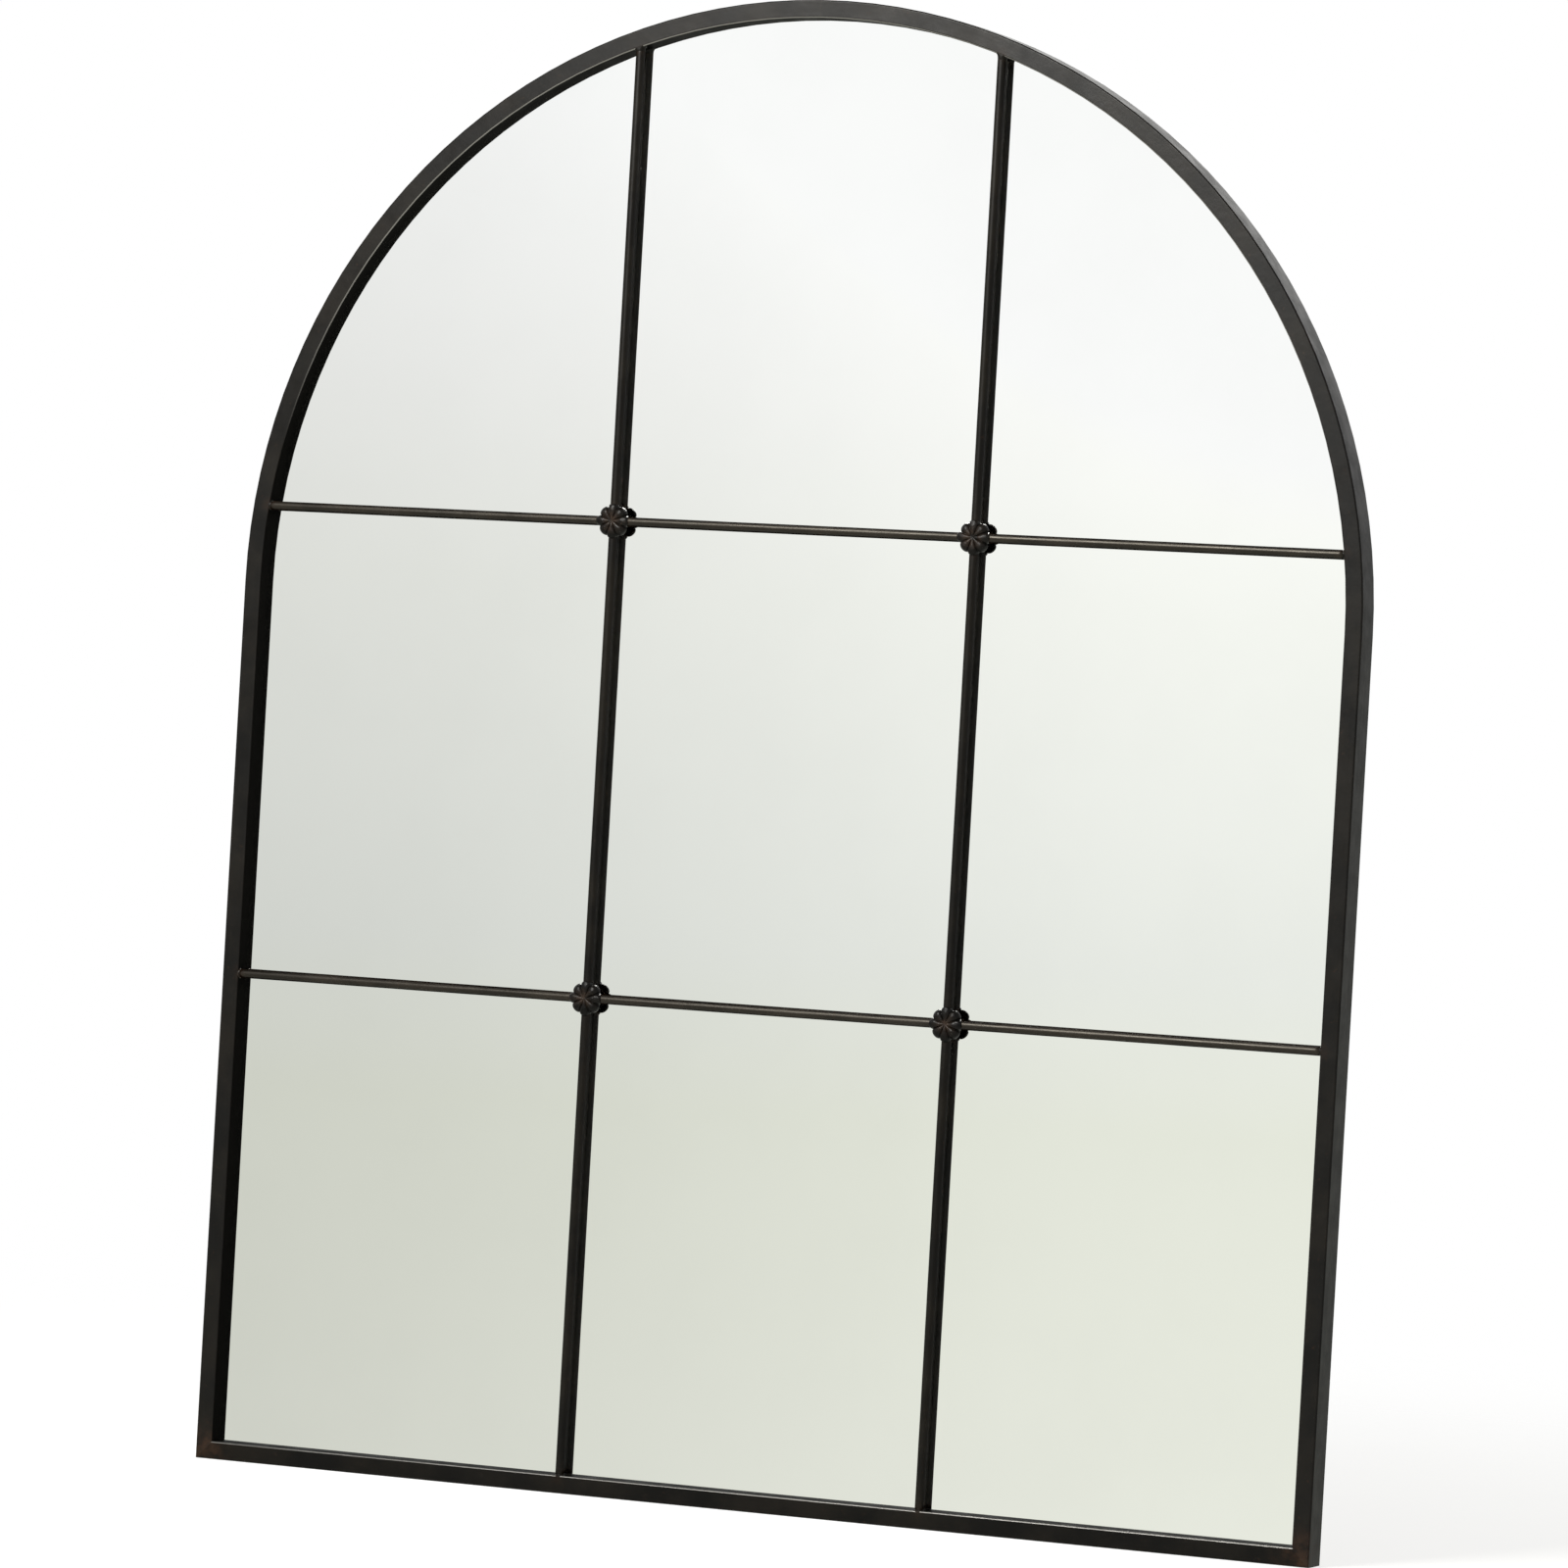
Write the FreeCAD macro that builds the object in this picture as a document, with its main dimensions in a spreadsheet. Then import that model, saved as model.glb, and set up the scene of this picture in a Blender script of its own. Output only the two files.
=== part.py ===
import FreeCAD, Part
import enum
import math
import os
import Sketcher

# Arched wall mirror: a welded iron frame with a grille of round rods and four cast rosettes,
# one arched mirror glass, a back board held by bent tabs, and two hanging rings at the back.
# X is the width, Z is up, the mirror looks toward -Y and the wall is at +Y.
# The origin is at the middle of the width and of the thickness, on the bottom edge.

# Driving dimensions in millimetres
DIMENSIONS = {
    "overall_width": 803,
    "side_height": 598.5,
    "rail_face": 12,
    "rail_depth": 10,
    "rail_rounding": 1.2,
    "rim_thickness": 2,
    "rim_depth": 12,
    "rod_diameter": 6,
    "rod_setback": 0.2,
    "row_height": 319,
    "weld_gap": 0.1,
    "glass_thickness": 3,
    "board_thickness": 3,
    "glass_clearance": 1.5,
    "rosette_radius": 12,
    "rosette_wall": 1.2,
    "hub_radius": 10.6,
    "hub_shoulder": 0.8,
    "petal_rise": 1.1,
    "petal_bead_radius": 3.9,
    "petal_tip_radius": 0.9,
    "petal_tip_reach": 1.1,
    "bead_lift": 1.4,
    "rod_slot_clearance": 0.4,
    "tab_width": 14,
    "tab_sheet": 1.2,
    "tab_reach": 12,
    "tab_height": 5.5,
    "hanger_width": 26,
    "hanger_height": 40,
    "hanger_sheet": 1.2,
    "hanger_board_clearance": 0.2,
    "hanger_below_spring": 12,
    "knuckle_length": 12,
    "ring_wire_diameter": 2.5,
    "ring_play": 0.1,
    "ring_standoff": 0.2,
    "ring_inner_width": 18,
    "ring_corner_radius": 2.5,
    "ring_arm_length": 6,
}

# Lengths that follow from the driving dimensions
DERIVED = {
    "half_width": "overall_width / 2",
    "opening_half_width": "half_width - rail_face",
    "overall_height": "side_height + half_width",
    "frame_depth": "rail_depth + rim_depth",
    "rod_radius": "rod_diameter / 2",
    "cavity_height": "rod_radius + weld_gap",
    "cavity_radius": "hub_radius - rosette_wall",
    "cavity_shoulder": "hub_shoulder / 2",
    "hub_height": "cavity_height + rosette_wall",
    "rosette_height": "hub_height + petal_rise",
    "rosette_proud": "rosette_height - rod_radius - rod_setback",
    "front_y": "(rosette_proud - frame_depth) / 2",
    "rail_back_y": "front_y + rail_depth",
    "rear_y": "front_y + frame_depth",
    "rod_axis_y": "front_y + rod_setback + rod_radius",
    "upright_x": "opening_half_width / 3",
    "lower_row_z": "rail_face + row_height",
    "upper_row_z": "rail_face + 2 * row_height",
    "welded_half_width": "opening_half_width - weld_gap",
    "welded_bottom_z": "rail_face + weld_gap",
    "cross_rod_inner_end": "upright_x - rod_radius - weld_gap",
    "side_rod_length": "half_width - upright_x - rod_radius - weld_gap",
    "rim_inner_half_width": "half_width - rim_thickness",
    "glass_half_width": "rim_inner_half_width - glass_clearance",
    "glass_bottom_z": "rim_thickness + glass_clearance",
    "glass_back_y": "rail_back_y + glass_thickness",
    "board_back_y": "glass_back_y + board_thickness",
    "rosette_span": "2 * rosette_radius",
    "petal_bead_reach": "rosette_radius - petal_bead_radius",
    "petal_tip_lift": "rosette_height - petal_tip_radius",
    "bead_hollow_radius": "petal_bead_radius - rosette_wall",
    "rod_slot_radius": "rod_radius + rod_slot_clearance",
    "arch_tab_radius": "rim_inner_half_width - tab_width ^ 2 / (8 * rim_inner_half_width) - weld_gap",
    "ring_wire_radius": "ring_wire_diameter / 2",
    "knuckle_bore_radius": "ring_wire_radius + ring_play",
    "knuckle_outer_radius": "knuckle_bore_radius + hanger_sheet",
    "hanger_plate_front": "knuckle_outer_radius + ring_standoff",
    "hanger_plate_rear": "knuckle_bore_radius + ring_standoff",
    "hinge_x": "rim_inner_half_width - hanger_width / 2",
    "hinge_y": "board_back_y + hanger_board_clearance + hanger_plate_front",
    "hinge_z": "side_height - hanger_below_spring",
    "ring_half_width": "(ring_inner_width + ring_wire_diameter) / 2",
    "ring_leg_half_length": "ring_half_width - ring_corner_radius",
}

PETAL_COUNT = 8

# Places of the retaining tabs: shares of the side height, shares of the half width along the
# bottom, and directions on the arch in degrees from the right-hand spring line
SIDE_TAB_SHARES = {"lower": 0.22, "upper": 0.72}
BOTTOM_TAB_SHARES = {"left": -0.45, "right": 0.45}
ARCH_TAB_DIRECTIONS = {"right_low": 25, "right_high": 65, "left_high": 115, "left_low": 155}

HALF_TURN = 180
TOLERANCE = 1e-6


class Axis(enum.IntEnum):
    """The numbers by which a sketch knows its own axes; the origin is the first one's start."""

    HORIZONTAL = -1
    VERTICAL = -2


class At(enum.IntEnum):
    """The numbers by which a sketch knows the points of a line or an arc."""

    START = 1
    END = 2
    CENTRE = 3


doc = FreeCAD.newDocument("arched_wall_mirror")
sheet = doc.addObject("Spreadsheet::Sheet", "dims")


def fill_sheet():
    """Write the driving dimensions and the derived lengths into the sheet, one row each."""
    cells = {name: str(number) for name, number in DIMENSIONS.items()}
    cells.update({name: "=" + formula for name, formula in DERIVED.items()})
    for row, (name, content) in enumerate(cells.items(), start=1):
        sheet.set(f"A{row}", name)
        sheet.set(f"B{row}", content)
        sheet.setAlias(f"B{row}", name)
    doc.recompute()


def size(name):
    """Read one dimension from the sheet."""
    return float(sheet.get(name))


def bind(item, **formulas):
    """Drive properties of an object from the sheet; a double underscore stands for a dot."""
    for target, formula in formulas.items():
        item.setExpression(target.replace("__", "."), formula)


def place(item, x="0", y="0", z="0", rotation=FreeCAD.Rotation()):
    """Turn an object and drive its position from the sheet."""
    item.Placement = FreeCAD.Placement(FreeCAD.Vector(), rotation)
    bind(item, Placement__Base__x=x, Placement__Base__y=y, Placement__Base__z=z)


def new_body(label):
    """Start an empty body that will be one sub-part."""
    body = doc.addObject("PartDesign::Body", label)
    body.Label = label
    return body


def origin_feature(body, role):
    """Find one of a body's own origin planes or axes."""
    return next(feature for feature in body.Origin.OriginFeatures if feature.Role == role)


def new_sketch(body, name, plane):
    """Start a sketch on one of the body's own origin planes."""
    sketch = body.newObject("Sketcher::SketchObject", f"{body.Label}_{name}")
    sketch.AttachmentSupport = (origin_feature(body, plane), [""])
    sketch.MapMode = "FlatFace"
    return sketch


def add_line(sketch, start, end, construction=False):
    """Draw a straight line between two points given as pairs."""
    segment = Part.LineSegment(FreeCAD.Vector(*start, 0), FreeCAD.Vector(*end, 0))
    return sketch.addGeometry(segment, construction)


def add_arc(sketch, centre, radius, from_degrees, to_degrees):
    """Draw an anticlockwise arc."""
    circle = Part.Circle(FreeCAD.Vector(*centre, 0), FreeCAD.Vector(0, 0, 1), radius)
    arc = Part.ArcOfCircle(circle, math.radians(from_degrees), math.radians(to_degrees))
    return sketch.addGeometry(arc, False)


def constrain(sketch, *rules):
    """Add plain geometric constraints, each given as a tuple."""
    for rule in rules:
        sketch.addConstraint(Sketcher.Constraint(*rule))


def dimension(sketch, dimension_name, kind, *places):
    """Add a dimension to a sketch and drive it from the sheet."""
    index = sketch.addConstraint(Sketcher.Constraint(kind, *places, size(dimension_name)))
    sketch.renameConstraint(index, f"{dimension_name}_{index}")
    sketch.setExpression(f"Constraints.{dimension_name}_{index}", f"dims.{dimension_name}")


def add_circle(sketch, radius_name):
    """Draw a circle about the sketch's origin."""
    circle = Part.Circle(FreeCAD.Vector(), FreeCAD.Vector(0, 0, 1), size(radius_name))
    index = sketch.addGeometry(circle, False)
    constrain(sketch, ("Coincident", index, At.CENTRE, Axis.HORIZONTAL, At.START))
    dimension(sketch, radius_name, "Radius", index)


def pad(body, sketch, name, length, symmetric=False):
    """Extrude a sketch along its normal, or to both sides of its plane."""
    feature = body.newObject("PartDesign::Pad", f"{body.Label}_{name}")
    feature.Profile = sketch
    feature.SideType = "Symmetric" if symmetric else "One side"
    bind(feature, Length=length)
    doc.recompute()
    return feature


def pocket(body, sketch, name, length, reverse=False, symmetric=False):
    """Cut a sketch's outline out of a body."""
    feature = body.newObject("PartDesign::Pocket", f"{body.Label}_{name}")
    feature.Profile = sketch
    feature.Reversed = reverse
    feature.SideType = "Symmetric" if symmetric else "One side"
    bind(feature, Length=length)
    doc.recompute()
    return feature


def mirror_copy(source, label):
    """Make the right-hand twin of a left-hand sub-part."""
    twin = doc.addObject("Part::Mirroring", label)
    twin.Source = source
    twin.Normal = FreeCAD.Vector(1, 0, 0)
    twin.Label = label
    return twin


# Welded frame
def sketch_half_arch(sketch, strip_width, mitred):
    """Outline the left half of the frame: a straight side running into a quarter arch.

    Args:
        sketch: the sketch to draw in, with X across and Y up.
        strip_width: name of the strip's width across its face.
        mitred: whether the foot is cut at 45 degrees instead of square.
    """
    outer = size("half_width")
    inner = outer - size(strip_width)
    spring = size("side_height")
    foot = size(strip_width) if mitred else 0
    outer_side = add_line(sketch, (-outer, 0), (-outer, spring))
    outer_arc = add_arc(sketch, (0, spring), outer, 90, 180)
    crown = add_line(sketch, (0, spring + outer), (0, spring + inner))
    inner_arc = add_arc(sketch, (0, spring), inner, 90, 180)
    inner_side = add_line(sketch, (-inner, spring), (-inner, foot))
    foot_cut = add_line(sketch, (-inner, foot), (-outer, 0))
    constrain(
        sketch,
        ("Tangent", outer_side, At.END, outer_arc, At.END),
        ("Coincident", outer_arc, At.START, crown, At.START),
        ("Coincident", crown, At.END, inner_arc, At.START),
        ("Tangent", inner_arc, At.END, inner_side, At.START),
        ("Coincident", inner_side, At.END, foot_cut, At.START),
        ("Coincident", foot_cut, At.END, outer_side, At.START),
        ("Vertical", outer_side),
        ("Vertical", inner_side),
        ("PointOnObject", crown, At.START, Axis.VERTICAL),
        ("PointOnObject", crown, At.END, Axis.VERTICAL),
        ("PointOnObject", outer_arc, At.CENTRE, Axis.VERTICAL),
        ("Coincident", outer_arc, At.CENTRE, inner_arc, At.CENTRE),
        ("PointOnObject", outer_side, At.START, Axis.HORIZONTAL),
    )
    dimension(sketch, "half_width", "DistanceX", outer_side, At.START, Axis.HORIZONTAL, At.START)
    dimension(sketch, "side_height", "DistanceY", Axis.HORIZONTAL, At.START, outer_arc, At.CENTRE)
    dimension(sketch, strip_width, "DistanceX", outer_side, At.START, inner_side, At.END)
    if mitred:
        dimension(sketch, strip_width, "DistanceY", Axis.HORIZONTAL, At.START, inner_side, At.END)
    else:
        constrain(sketch, ("PointOnObject", inner_side, At.END, Axis.HORIZONTAL))


def long_front_edges(bar):
    """Name the front edges that run along a padded bar, leaving out those at its ends."""
    names = []
    for number, edge in enumerate(bar.Shape.Edges, start=1):
        box = edge.BoundBox
        in_front = abs(box.YMax - bar.Shape.BoundBox.YMin) < TOLERANCE
        curved = isinstance(edge.Curve, Part.Circle)
        upright = box.XLength < TOLERANCE and abs(box.XMax) > TOLERANCE
        level = box.ZLength < TOLERANCE
        if in_front and (curved or upright or level):
            names.append(f"Edge{number}")
    return names


def round_front(body, bar):
    """Round the long front edges of a rail."""
    fillet = body.newObject("PartDesign::Fillet", f"{body.Label}_rounding")
    fillet.Base = (bar, long_front_edges(bar))
    bind(fillet, Radius="dims.rail_rounding")
    doc.recompute()


def make_side_rail():
    """Bend the left rail: flat bar up the side and round to the crown."""
    body = new_body("left_rail")
    sketch = new_sketch(body, "outline", "XZ_Plane")
    sketch_half_arch(sketch, "rail_face", mitred=True)
    round_front(body, pad(body, sketch, "bar", "dims.rail_depth"))
    place(body, y="dims.rail_back_y")
    return body


def make_side_rim():
    """Bend the left rim: the thin strip on edge behind the rail."""
    body = new_body("left_rim")
    sketch = new_sketch(body, "outline", "XZ_Plane")
    sketch_half_arch(sketch, "rim_thickness", mitred=False)
    pad(body, sketch, "strip", "dims.rim_depth")
    place(body, y="dims.rear_y")
    return body


def make_bottom_rail():
    """Cut the bottom rail with a mitre at each end."""
    body = new_body("bottom_rail")
    sketch = new_sketch(body, "outline", "XZ_Plane")
    outer, face = size("half_width"), size("rail_face")
    bottom = add_line(sketch, (-outer, 0), (outer, 0))
    right = add_line(sketch, (outer, 0), (outer - face, face))
    top = add_line(sketch, (outer - face, face), (face - outer, face))
    left = add_line(sketch, (face - outer, face), (-outer, 0))
    constrain(
        sketch,
        ("Coincident", bottom, At.END, right, At.START),
        ("Coincident", right, At.END, top, At.START),
        ("Coincident", top, At.END, left, At.START),
        ("Coincident", left, At.END, bottom, At.START),
        ("Horizontal", top),
        ("Symmetric", bottom, At.START, bottom, At.END, Axis.HORIZONTAL, At.START),
        ("PointOnObject", bottom, At.START, Axis.HORIZONTAL),
    )
    dimension(sketch, "overall_width", "DistanceX", bottom, At.START, bottom, At.END)
    dimension(sketch, "rail_face", "DistanceY", Axis.HORIZONTAL, At.START, top, At.START)
    dimension(sketch, "rail_face", "DistanceX", bottom, At.START, top, At.END)
    dimension(sketch, "rail_face", "DistanceX", top, At.START, bottom, At.END)
    round_front(body, pad(body, sketch, "bar", "dims.rail_depth"))
    place(body, y="dims.rail_back_y")
    return body


def make_bottom_rim():
    """Cut the bottom rim, butted between the two side rims."""
    strip = doc.addObject("Part::Box", "bottom_rim")
    strip.Label = "bottom_rim"
    bind(
        strip,
        Length="2 * dims.rim_inner_half_width",
        Width="dims.rim_depth",
        Height="dims.rim_thickness",
    )
    place(strip, x="-dims.rim_inner_half_width", y="dims.rail_back_y")
    return strip


# Grille of round rods
def make_opening():
    """Model the space inside the rails, less a weld gap, that the rods are cut to fit."""
    arch = doc.addObject("Part::Cylinder", "opening_arch")
    bind(arch, Radius="dims.welded_half_width", Height="dims.frame_depth")
    facing_back = FreeCAD.Rotation(FreeCAD.Vector(1, 0, 0), -90)
    place(arch, y="dims.front_y", z="dims.side_height", rotation=facing_back)
    legs = doc.addObject("Part::Box", "opening_legs")
    bind(
        legs,
        Length="2 * dims.welded_half_width",
        Width="dims.frame_depth",
        Height="dims.side_height - dims.welded_bottom_z",
    )
    place(legs, x="-dims.welded_half_width", y="dims.front_y", z="dims.welded_bottom_z")
    opening = doc.addObject("Part::Fuse", "opening")
    opening.Base = arch
    opening.Tool = legs
    opening.Refine = True
    return opening


def cut_to_opening(stock, opening, label):
    """Trim a length of rod to the space inside the rails."""
    rod = doc.addObject("Part::Common", label)
    rod.Base = stock
    rod.Tool = opening
    rod.Label = label
    return rod


def make_upright(opening):
    """Stand the left upright rod between the bottom rail and the arch."""
    stock = doc.addObject("Part::Cylinder", "upright_stock")
    bind(stock, Radius="dims.rod_radius", Height="dims.overall_height")
    place(stock, x="-dims.upright_x", y="dims.rod_axis_y")
    return cut_to_opening(stock, opening, "left_upright")


def make_cross_rod(label, length, start_x, level):
    """Lay one length of round rod along X."""
    rod = doc.addObject("Part::Cylinder", label)
    rod.Label = label
    bind(rod, Radius="dims.rod_radius", Height=length)
    along_x = FreeCAD.Rotation(FreeCAD.Vector(0, 1, 0), 90)
    place(rod, x=start_x, y="dims.rod_axis_y", z=level, rotation=along_x)
    return rod


def make_cross_rods(opening):
    """Lay both rows of cross rods: a left, a middle and a right length in each."""
    rods = []
    for row in ("lower", "upper"):
        level = f"dims.{row}_row_z"
        stock = make_cross_rod(f"{row}_stock", "dims.side_rod_length", "-dims.half_width", level)
        left = cut_to_opening(stock, opening, f"{row}_left_rod")
        middle = make_cross_rod(
            f"{row}_middle_rod", "2 * dims.cross_rod_inner_end", "-dims.cross_rod_inner_end", level
        )
        rods += [left, middle, mirror_copy(left, f"{row}_right_rod")]
    return rods


# Cast rosettes
def sketch_petal(sketch):
    """Outline half a petal, a drop lying from the middle of the rosette out to its rim."""
    tip = (size("petal_tip_reach"), size("petal_tip_lift"))
    bead = (size("petal_bead_reach"), size("bead_lift"))
    along = math.atan2(bead[1] - tip[1], bead[0] - tip[0])
    lean = math.asin((size("petal_bead_radius") - size("petal_tip_radius")) / math.dist(tip, bead))
    upper = math.degrees(along) + 90 + math.degrees(lean)

    def on_circle(centre, radius_name, degrees):
        radius = size(radius_name)
        turn = math.radians(degrees)
        return (centre[0] + radius * math.cos(turn), centre[1] + radius * math.sin(turn))

    forward = math.degrees(along)
    tip_end = on_circle(tip, "petal_tip_radius", forward + HALF_TURN)
    tip_shoulder = on_circle(tip, "petal_tip_radius", upper)
    bead_shoulder = on_circle(bead, "petal_bead_radius", upper)
    bead_end = on_circle(bead, "petal_bead_radius", forward)
    axis = add_line(sketch, tip, bead, construction=True)
    tip_arc = add_arc(sketch, tip, size("petal_tip_radius"), upper, forward + HALF_TURN)
    crest = add_line(sketch, tip_shoulder, bead_shoulder)
    bead_arc = add_arc(sketch, bead, size("petal_bead_radius"), forward, upper)
    spine = add_line(sketch, bead_end, tip_end)
    constrain(
        sketch,
        ("Coincident", axis, At.START, tip_arc, At.CENTRE),
        ("Coincident", axis, At.END, bead_arc, At.CENTRE),
        ("Tangent", tip_arc, At.START, crest, At.START),
        ("Tangent", crest, At.END, bead_arc, At.END),
        ("Coincident", bead_arc, At.START, spine, At.START),
        ("Coincident", spine, At.END, tip_arc, At.END),
        ("PointOnObject", axis, At.START, spine),
        ("PointOnObject", axis, At.END, spine),
    )
    dimension(sketch, "petal_tip_reach", "DistanceX", Axis.HORIZONTAL, At.START, axis, At.START)
    dimension(sketch, "petal_tip_lift", "DistanceY", Axis.HORIZONTAL, At.START, axis, At.START)
    dimension(sketch, "petal_bead_reach", "DistanceX", Axis.HORIZONTAL, At.START, axis, At.END)
    dimension(sketch, "bead_lift", "DistanceY", Axis.HORIZONTAL, At.START, axis, At.END)
    dimension(sketch, "petal_tip_radius", "Radius", tip_arc)
    dimension(sketch, "petal_bead_radius", "Radius", bead_arc)


def sketch_dome(sketch, radius_name, shoulder_name, height_name):
    """Outline half of a low dome on a short upright wall, to be turned about the upright axis."""
    radius, shoulder, height = size(radius_name), size(shoulder_name), size(height_name)
    rise = height - shoulder
    curve_radius = (radius ** 2 + rise ** 2) / (2 * rise)
    low_end = math.degrees(math.acos(radius / curve_radius))
    floor = add_line(sketch, (0, 0), (radius, 0))
    wall = add_line(sketch, (radius, 0), (radius, shoulder))
    dome = add_arc(sketch, (0, height - curve_radius), curve_radius, low_end, 90)
    middle = add_line(sketch, (0, height), (0, 0))
    constrain(
        sketch,
        ("Coincident", floor, At.END, wall, At.START),
        ("Coincident", wall, At.END, dome, At.START),
        ("Coincident", dome, At.END, middle, At.START),
        ("Coincident", middle, At.END, floor, At.START),
        ("Coincident", floor, At.START, Axis.HORIZONTAL, At.START),
        ("Horizontal", floor),
        ("Vertical", wall),
        ("Vertical", middle),
        ("PointOnObject", dome, At.CENTRE, Axis.VERTICAL),
    )
    dimension(sketch, radius_name, "DistanceX", floor, At.START, floor, At.END)
    dimension(sketch, shoulder_name, "DistanceY", wall, At.START, wall, At.END)
    dimension(sketch, height_name, "DistanceY", middle, At.END, middle, At.START)


def turn(body, kind, sketch, name, axis):
    """Revolve a sketch into material, or into a hollow, about one of its own axes."""
    feature = body.newObject(f"PartDesign::{kind}", f"{body.Label}_{name}")
    feature.Profile = sketch
    feature.ReferenceAxis = (sketch, [axis])
    feature.Angle = 2 * HALF_TURN
    doc.recompute()
    return feature


def repeat_round(body, feature, name):
    """Repeat a feature for every petal round the rosette."""
    pattern = body.newObject("PartDesign::PolarPattern", f"{body.Label}_{name}")
    pattern.Originals = [feature]
    pattern.Axis = (origin_feature(body, "Z_Axis"), [""])
    pattern.Angle = 2 * HALF_TURN
    pattern.Occurrences = PETAL_COUNT
    body.Tip = pattern
    doc.recompute()


def make_rosette(label, x, level):
    """Cast one rosette: a hollow cap with eight petals, slotted to sit over the crossing rods."""
    body = new_body(label)
    hub_sketch = new_sketch(body, "hub_outline", "XZ_Plane")
    sketch_dome(hub_sketch, "hub_radius", "hub_shoulder", "hub_height")
    turn(body, "Revolution", hub_sketch, "hub", "V_Axis")
    petal_sketch = new_sketch(body, "petal_outline", "XZ_Plane")
    sketch_petal(petal_sketch)
    petal = turn(body, "Revolution", petal_sketch, "petal", "Axis0")
    repeat_round(body, petal, "petals")
    rim_sketch = new_sketch(body, "rim_plane", "XY_Plane")
    add_circle(rim_sketch, "rosette_span")
    pocket(body, rim_sketch, "rim", "dims.rosette_radius")
    cavity_sketch = new_sketch(body, "cavity_outline", "XZ_Plane")
    sketch_dome(cavity_sketch, "cavity_radius", "cavity_shoulder", "cavity_height")
    turn(body, "Groove", cavity_sketch, "cavity", "V_Axis")
    hollow = body.newObject("PartDesign::SubtractiveSphere", f"{label}_bead_hollow")
    bind(hollow, Radius="dims.bead_hollow_radius")
    place(hollow, x="dims.petal_bead_reach", z="dims.bead_lift")
    doc.recompute()
    repeat_round(body, hollow, "bead_hollows")
    for name, plane in (("cross_slot", "YZ_Plane"), ("upright_slot", "XZ_Plane")):
        slot_sketch = new_sketch(body, f"{name}_outline", plane)
        add_circle(slot_sketch, "rod_slot_radius")
        pocket(body, slot_sketch, name, "2 * dims.rosette_span", symmetric=True)
    facing_front = FreeCAD.Rotation(FreeCAD.Vector(1, 0, 0), 90)
    place(body, x=x, y="dims.rod_axis_y", z=level, rotation=facing_front)
    return body


def make_rosettes():
    """Cast a rosette for each crossing of the rods."""
    rosettes = []
    for row in ("lower", "upper"):
        for side, x in (("left", "-dims.upright_x"), ("right", "dims.upright_x")):
            rosettes.append(make_rosette(f"{row}_{side}_rosette", x, f"dims.{row}_row_z"))
    return rosettes


# Glass and back board
def sketch_pane(sketch):
    """Outline an arched sheet that drops into the rim with clearance all round."""
    half, bottom, spring = size("glass_half_width"), size("glass_bottom_z"), size("side_height")
    sill = add_line(sketch, (-half, bottom), (half, bottom))
    right = add_line(sketch, (half, bottom), (half, spring))
    arch = add_arc(sketch, (0, spring), half, 0, HALF_TURN)
    left = add_line(sketch, (-half, spring), (-half, bottom))
    constrain(
        sketch,
        ("Coincident", sill, At.END, right, At.START),
        ("Tangent", right, At.END, arch, At.START),
        ("Tangent", arch, At.END, left, At.START),
        ("Coincident", left, At.END, sill, At.START),
        ("Horizontal", sill),
        ("Vertical", right),
        ("Vertical", left),
        ("PointOnObject", arch, At.CENTRE, Axis.VERTICAL),
    )
    dimension(sketch, "glass_half_width", "Radius", arch)
    dimension(sketch, "glass_bottom_z", "DistanceY", Axis.HORIZONTAL, At.START, sill, At.START)
    dimension(sketch, "side_height", "DistanceY", Axis.HORIZONTAL, At.START, arch, At.CENTRE)


def make_pane(label, thickness, back_y):
    """Cut one arched sheet, its back face at a given depth."""
    body = new_body(label)
    sketch = new_sketch(body, "outline", "XZ_Plane")
    sketch_pane(sketch)
    pad(body, sketch, "sheet", thickness)
    place(body, y=back_y)
    return body


# Retaining tabs
def make_tab(label, x, z, turn):
    """Bend one tab: a leg welded inside the rim and a foot over the back board.

    Args:
        label: name of the sub-part.
        x: formula for the place of the leg's outside, across.
        z: formula for the same place, upward.
        turn: rotation about Y that points the foot inward, in degrees.
    """
    body = new_body(label)
    sketch = new_sketch(body, "section", "XY_Plane")
    reach, sheet_size, rise = size("tab_reach"), size("tab_sheet"), size("tab_height")
    foot = [(0, 0), (reach, 0), (reach, sheet_size)]
    leg = [(sheet_size, sheet_size), (sheet_size, rise), (0, rise)]
    corners = foot + leg
    sides = [add_line(sketch, corners[side], corners[(side + 1) % 6]) for side in range(6)]
    for side in range(6):
        constrain(sketch, ("Coincident", sides[side], At.END, sides[(side + 1) % 6], At.START))
    for side in (0, 2, 4):
        constrain(sketch, ("Horizontal", sides[side]), ("Vertical", sides[side + 1]))
    constrain(sketch, ("Coincident", sides[0], At.START, Axis.HORIZONTAL, At.START))
    dimension(sketch, "tab_reach", "DistanceX", sides[0], At.START, sides[0], At.END)
    dimension(sketch, "tab_sheet", "DistanceY", sides[1], At.START, sides[1], At.END)
    dimension(sketch, "tab_sheet", "DistanceX", sides[4], At.END, sides[4], At.START)
    dimension(sketch, "tab_height", "DistanceY", sides[5], At.END, sides[5], At.START)
    pad(body, sketch, "strip", "dims.tab_width", symmetric=True)
    inward = FreeCAD.Rotation(FreeCAD.Vector(0, 1, 0), turn)
    place(body, x=x, y="dims.board_back_y", z=z, rotation=inward)
    return body


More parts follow.
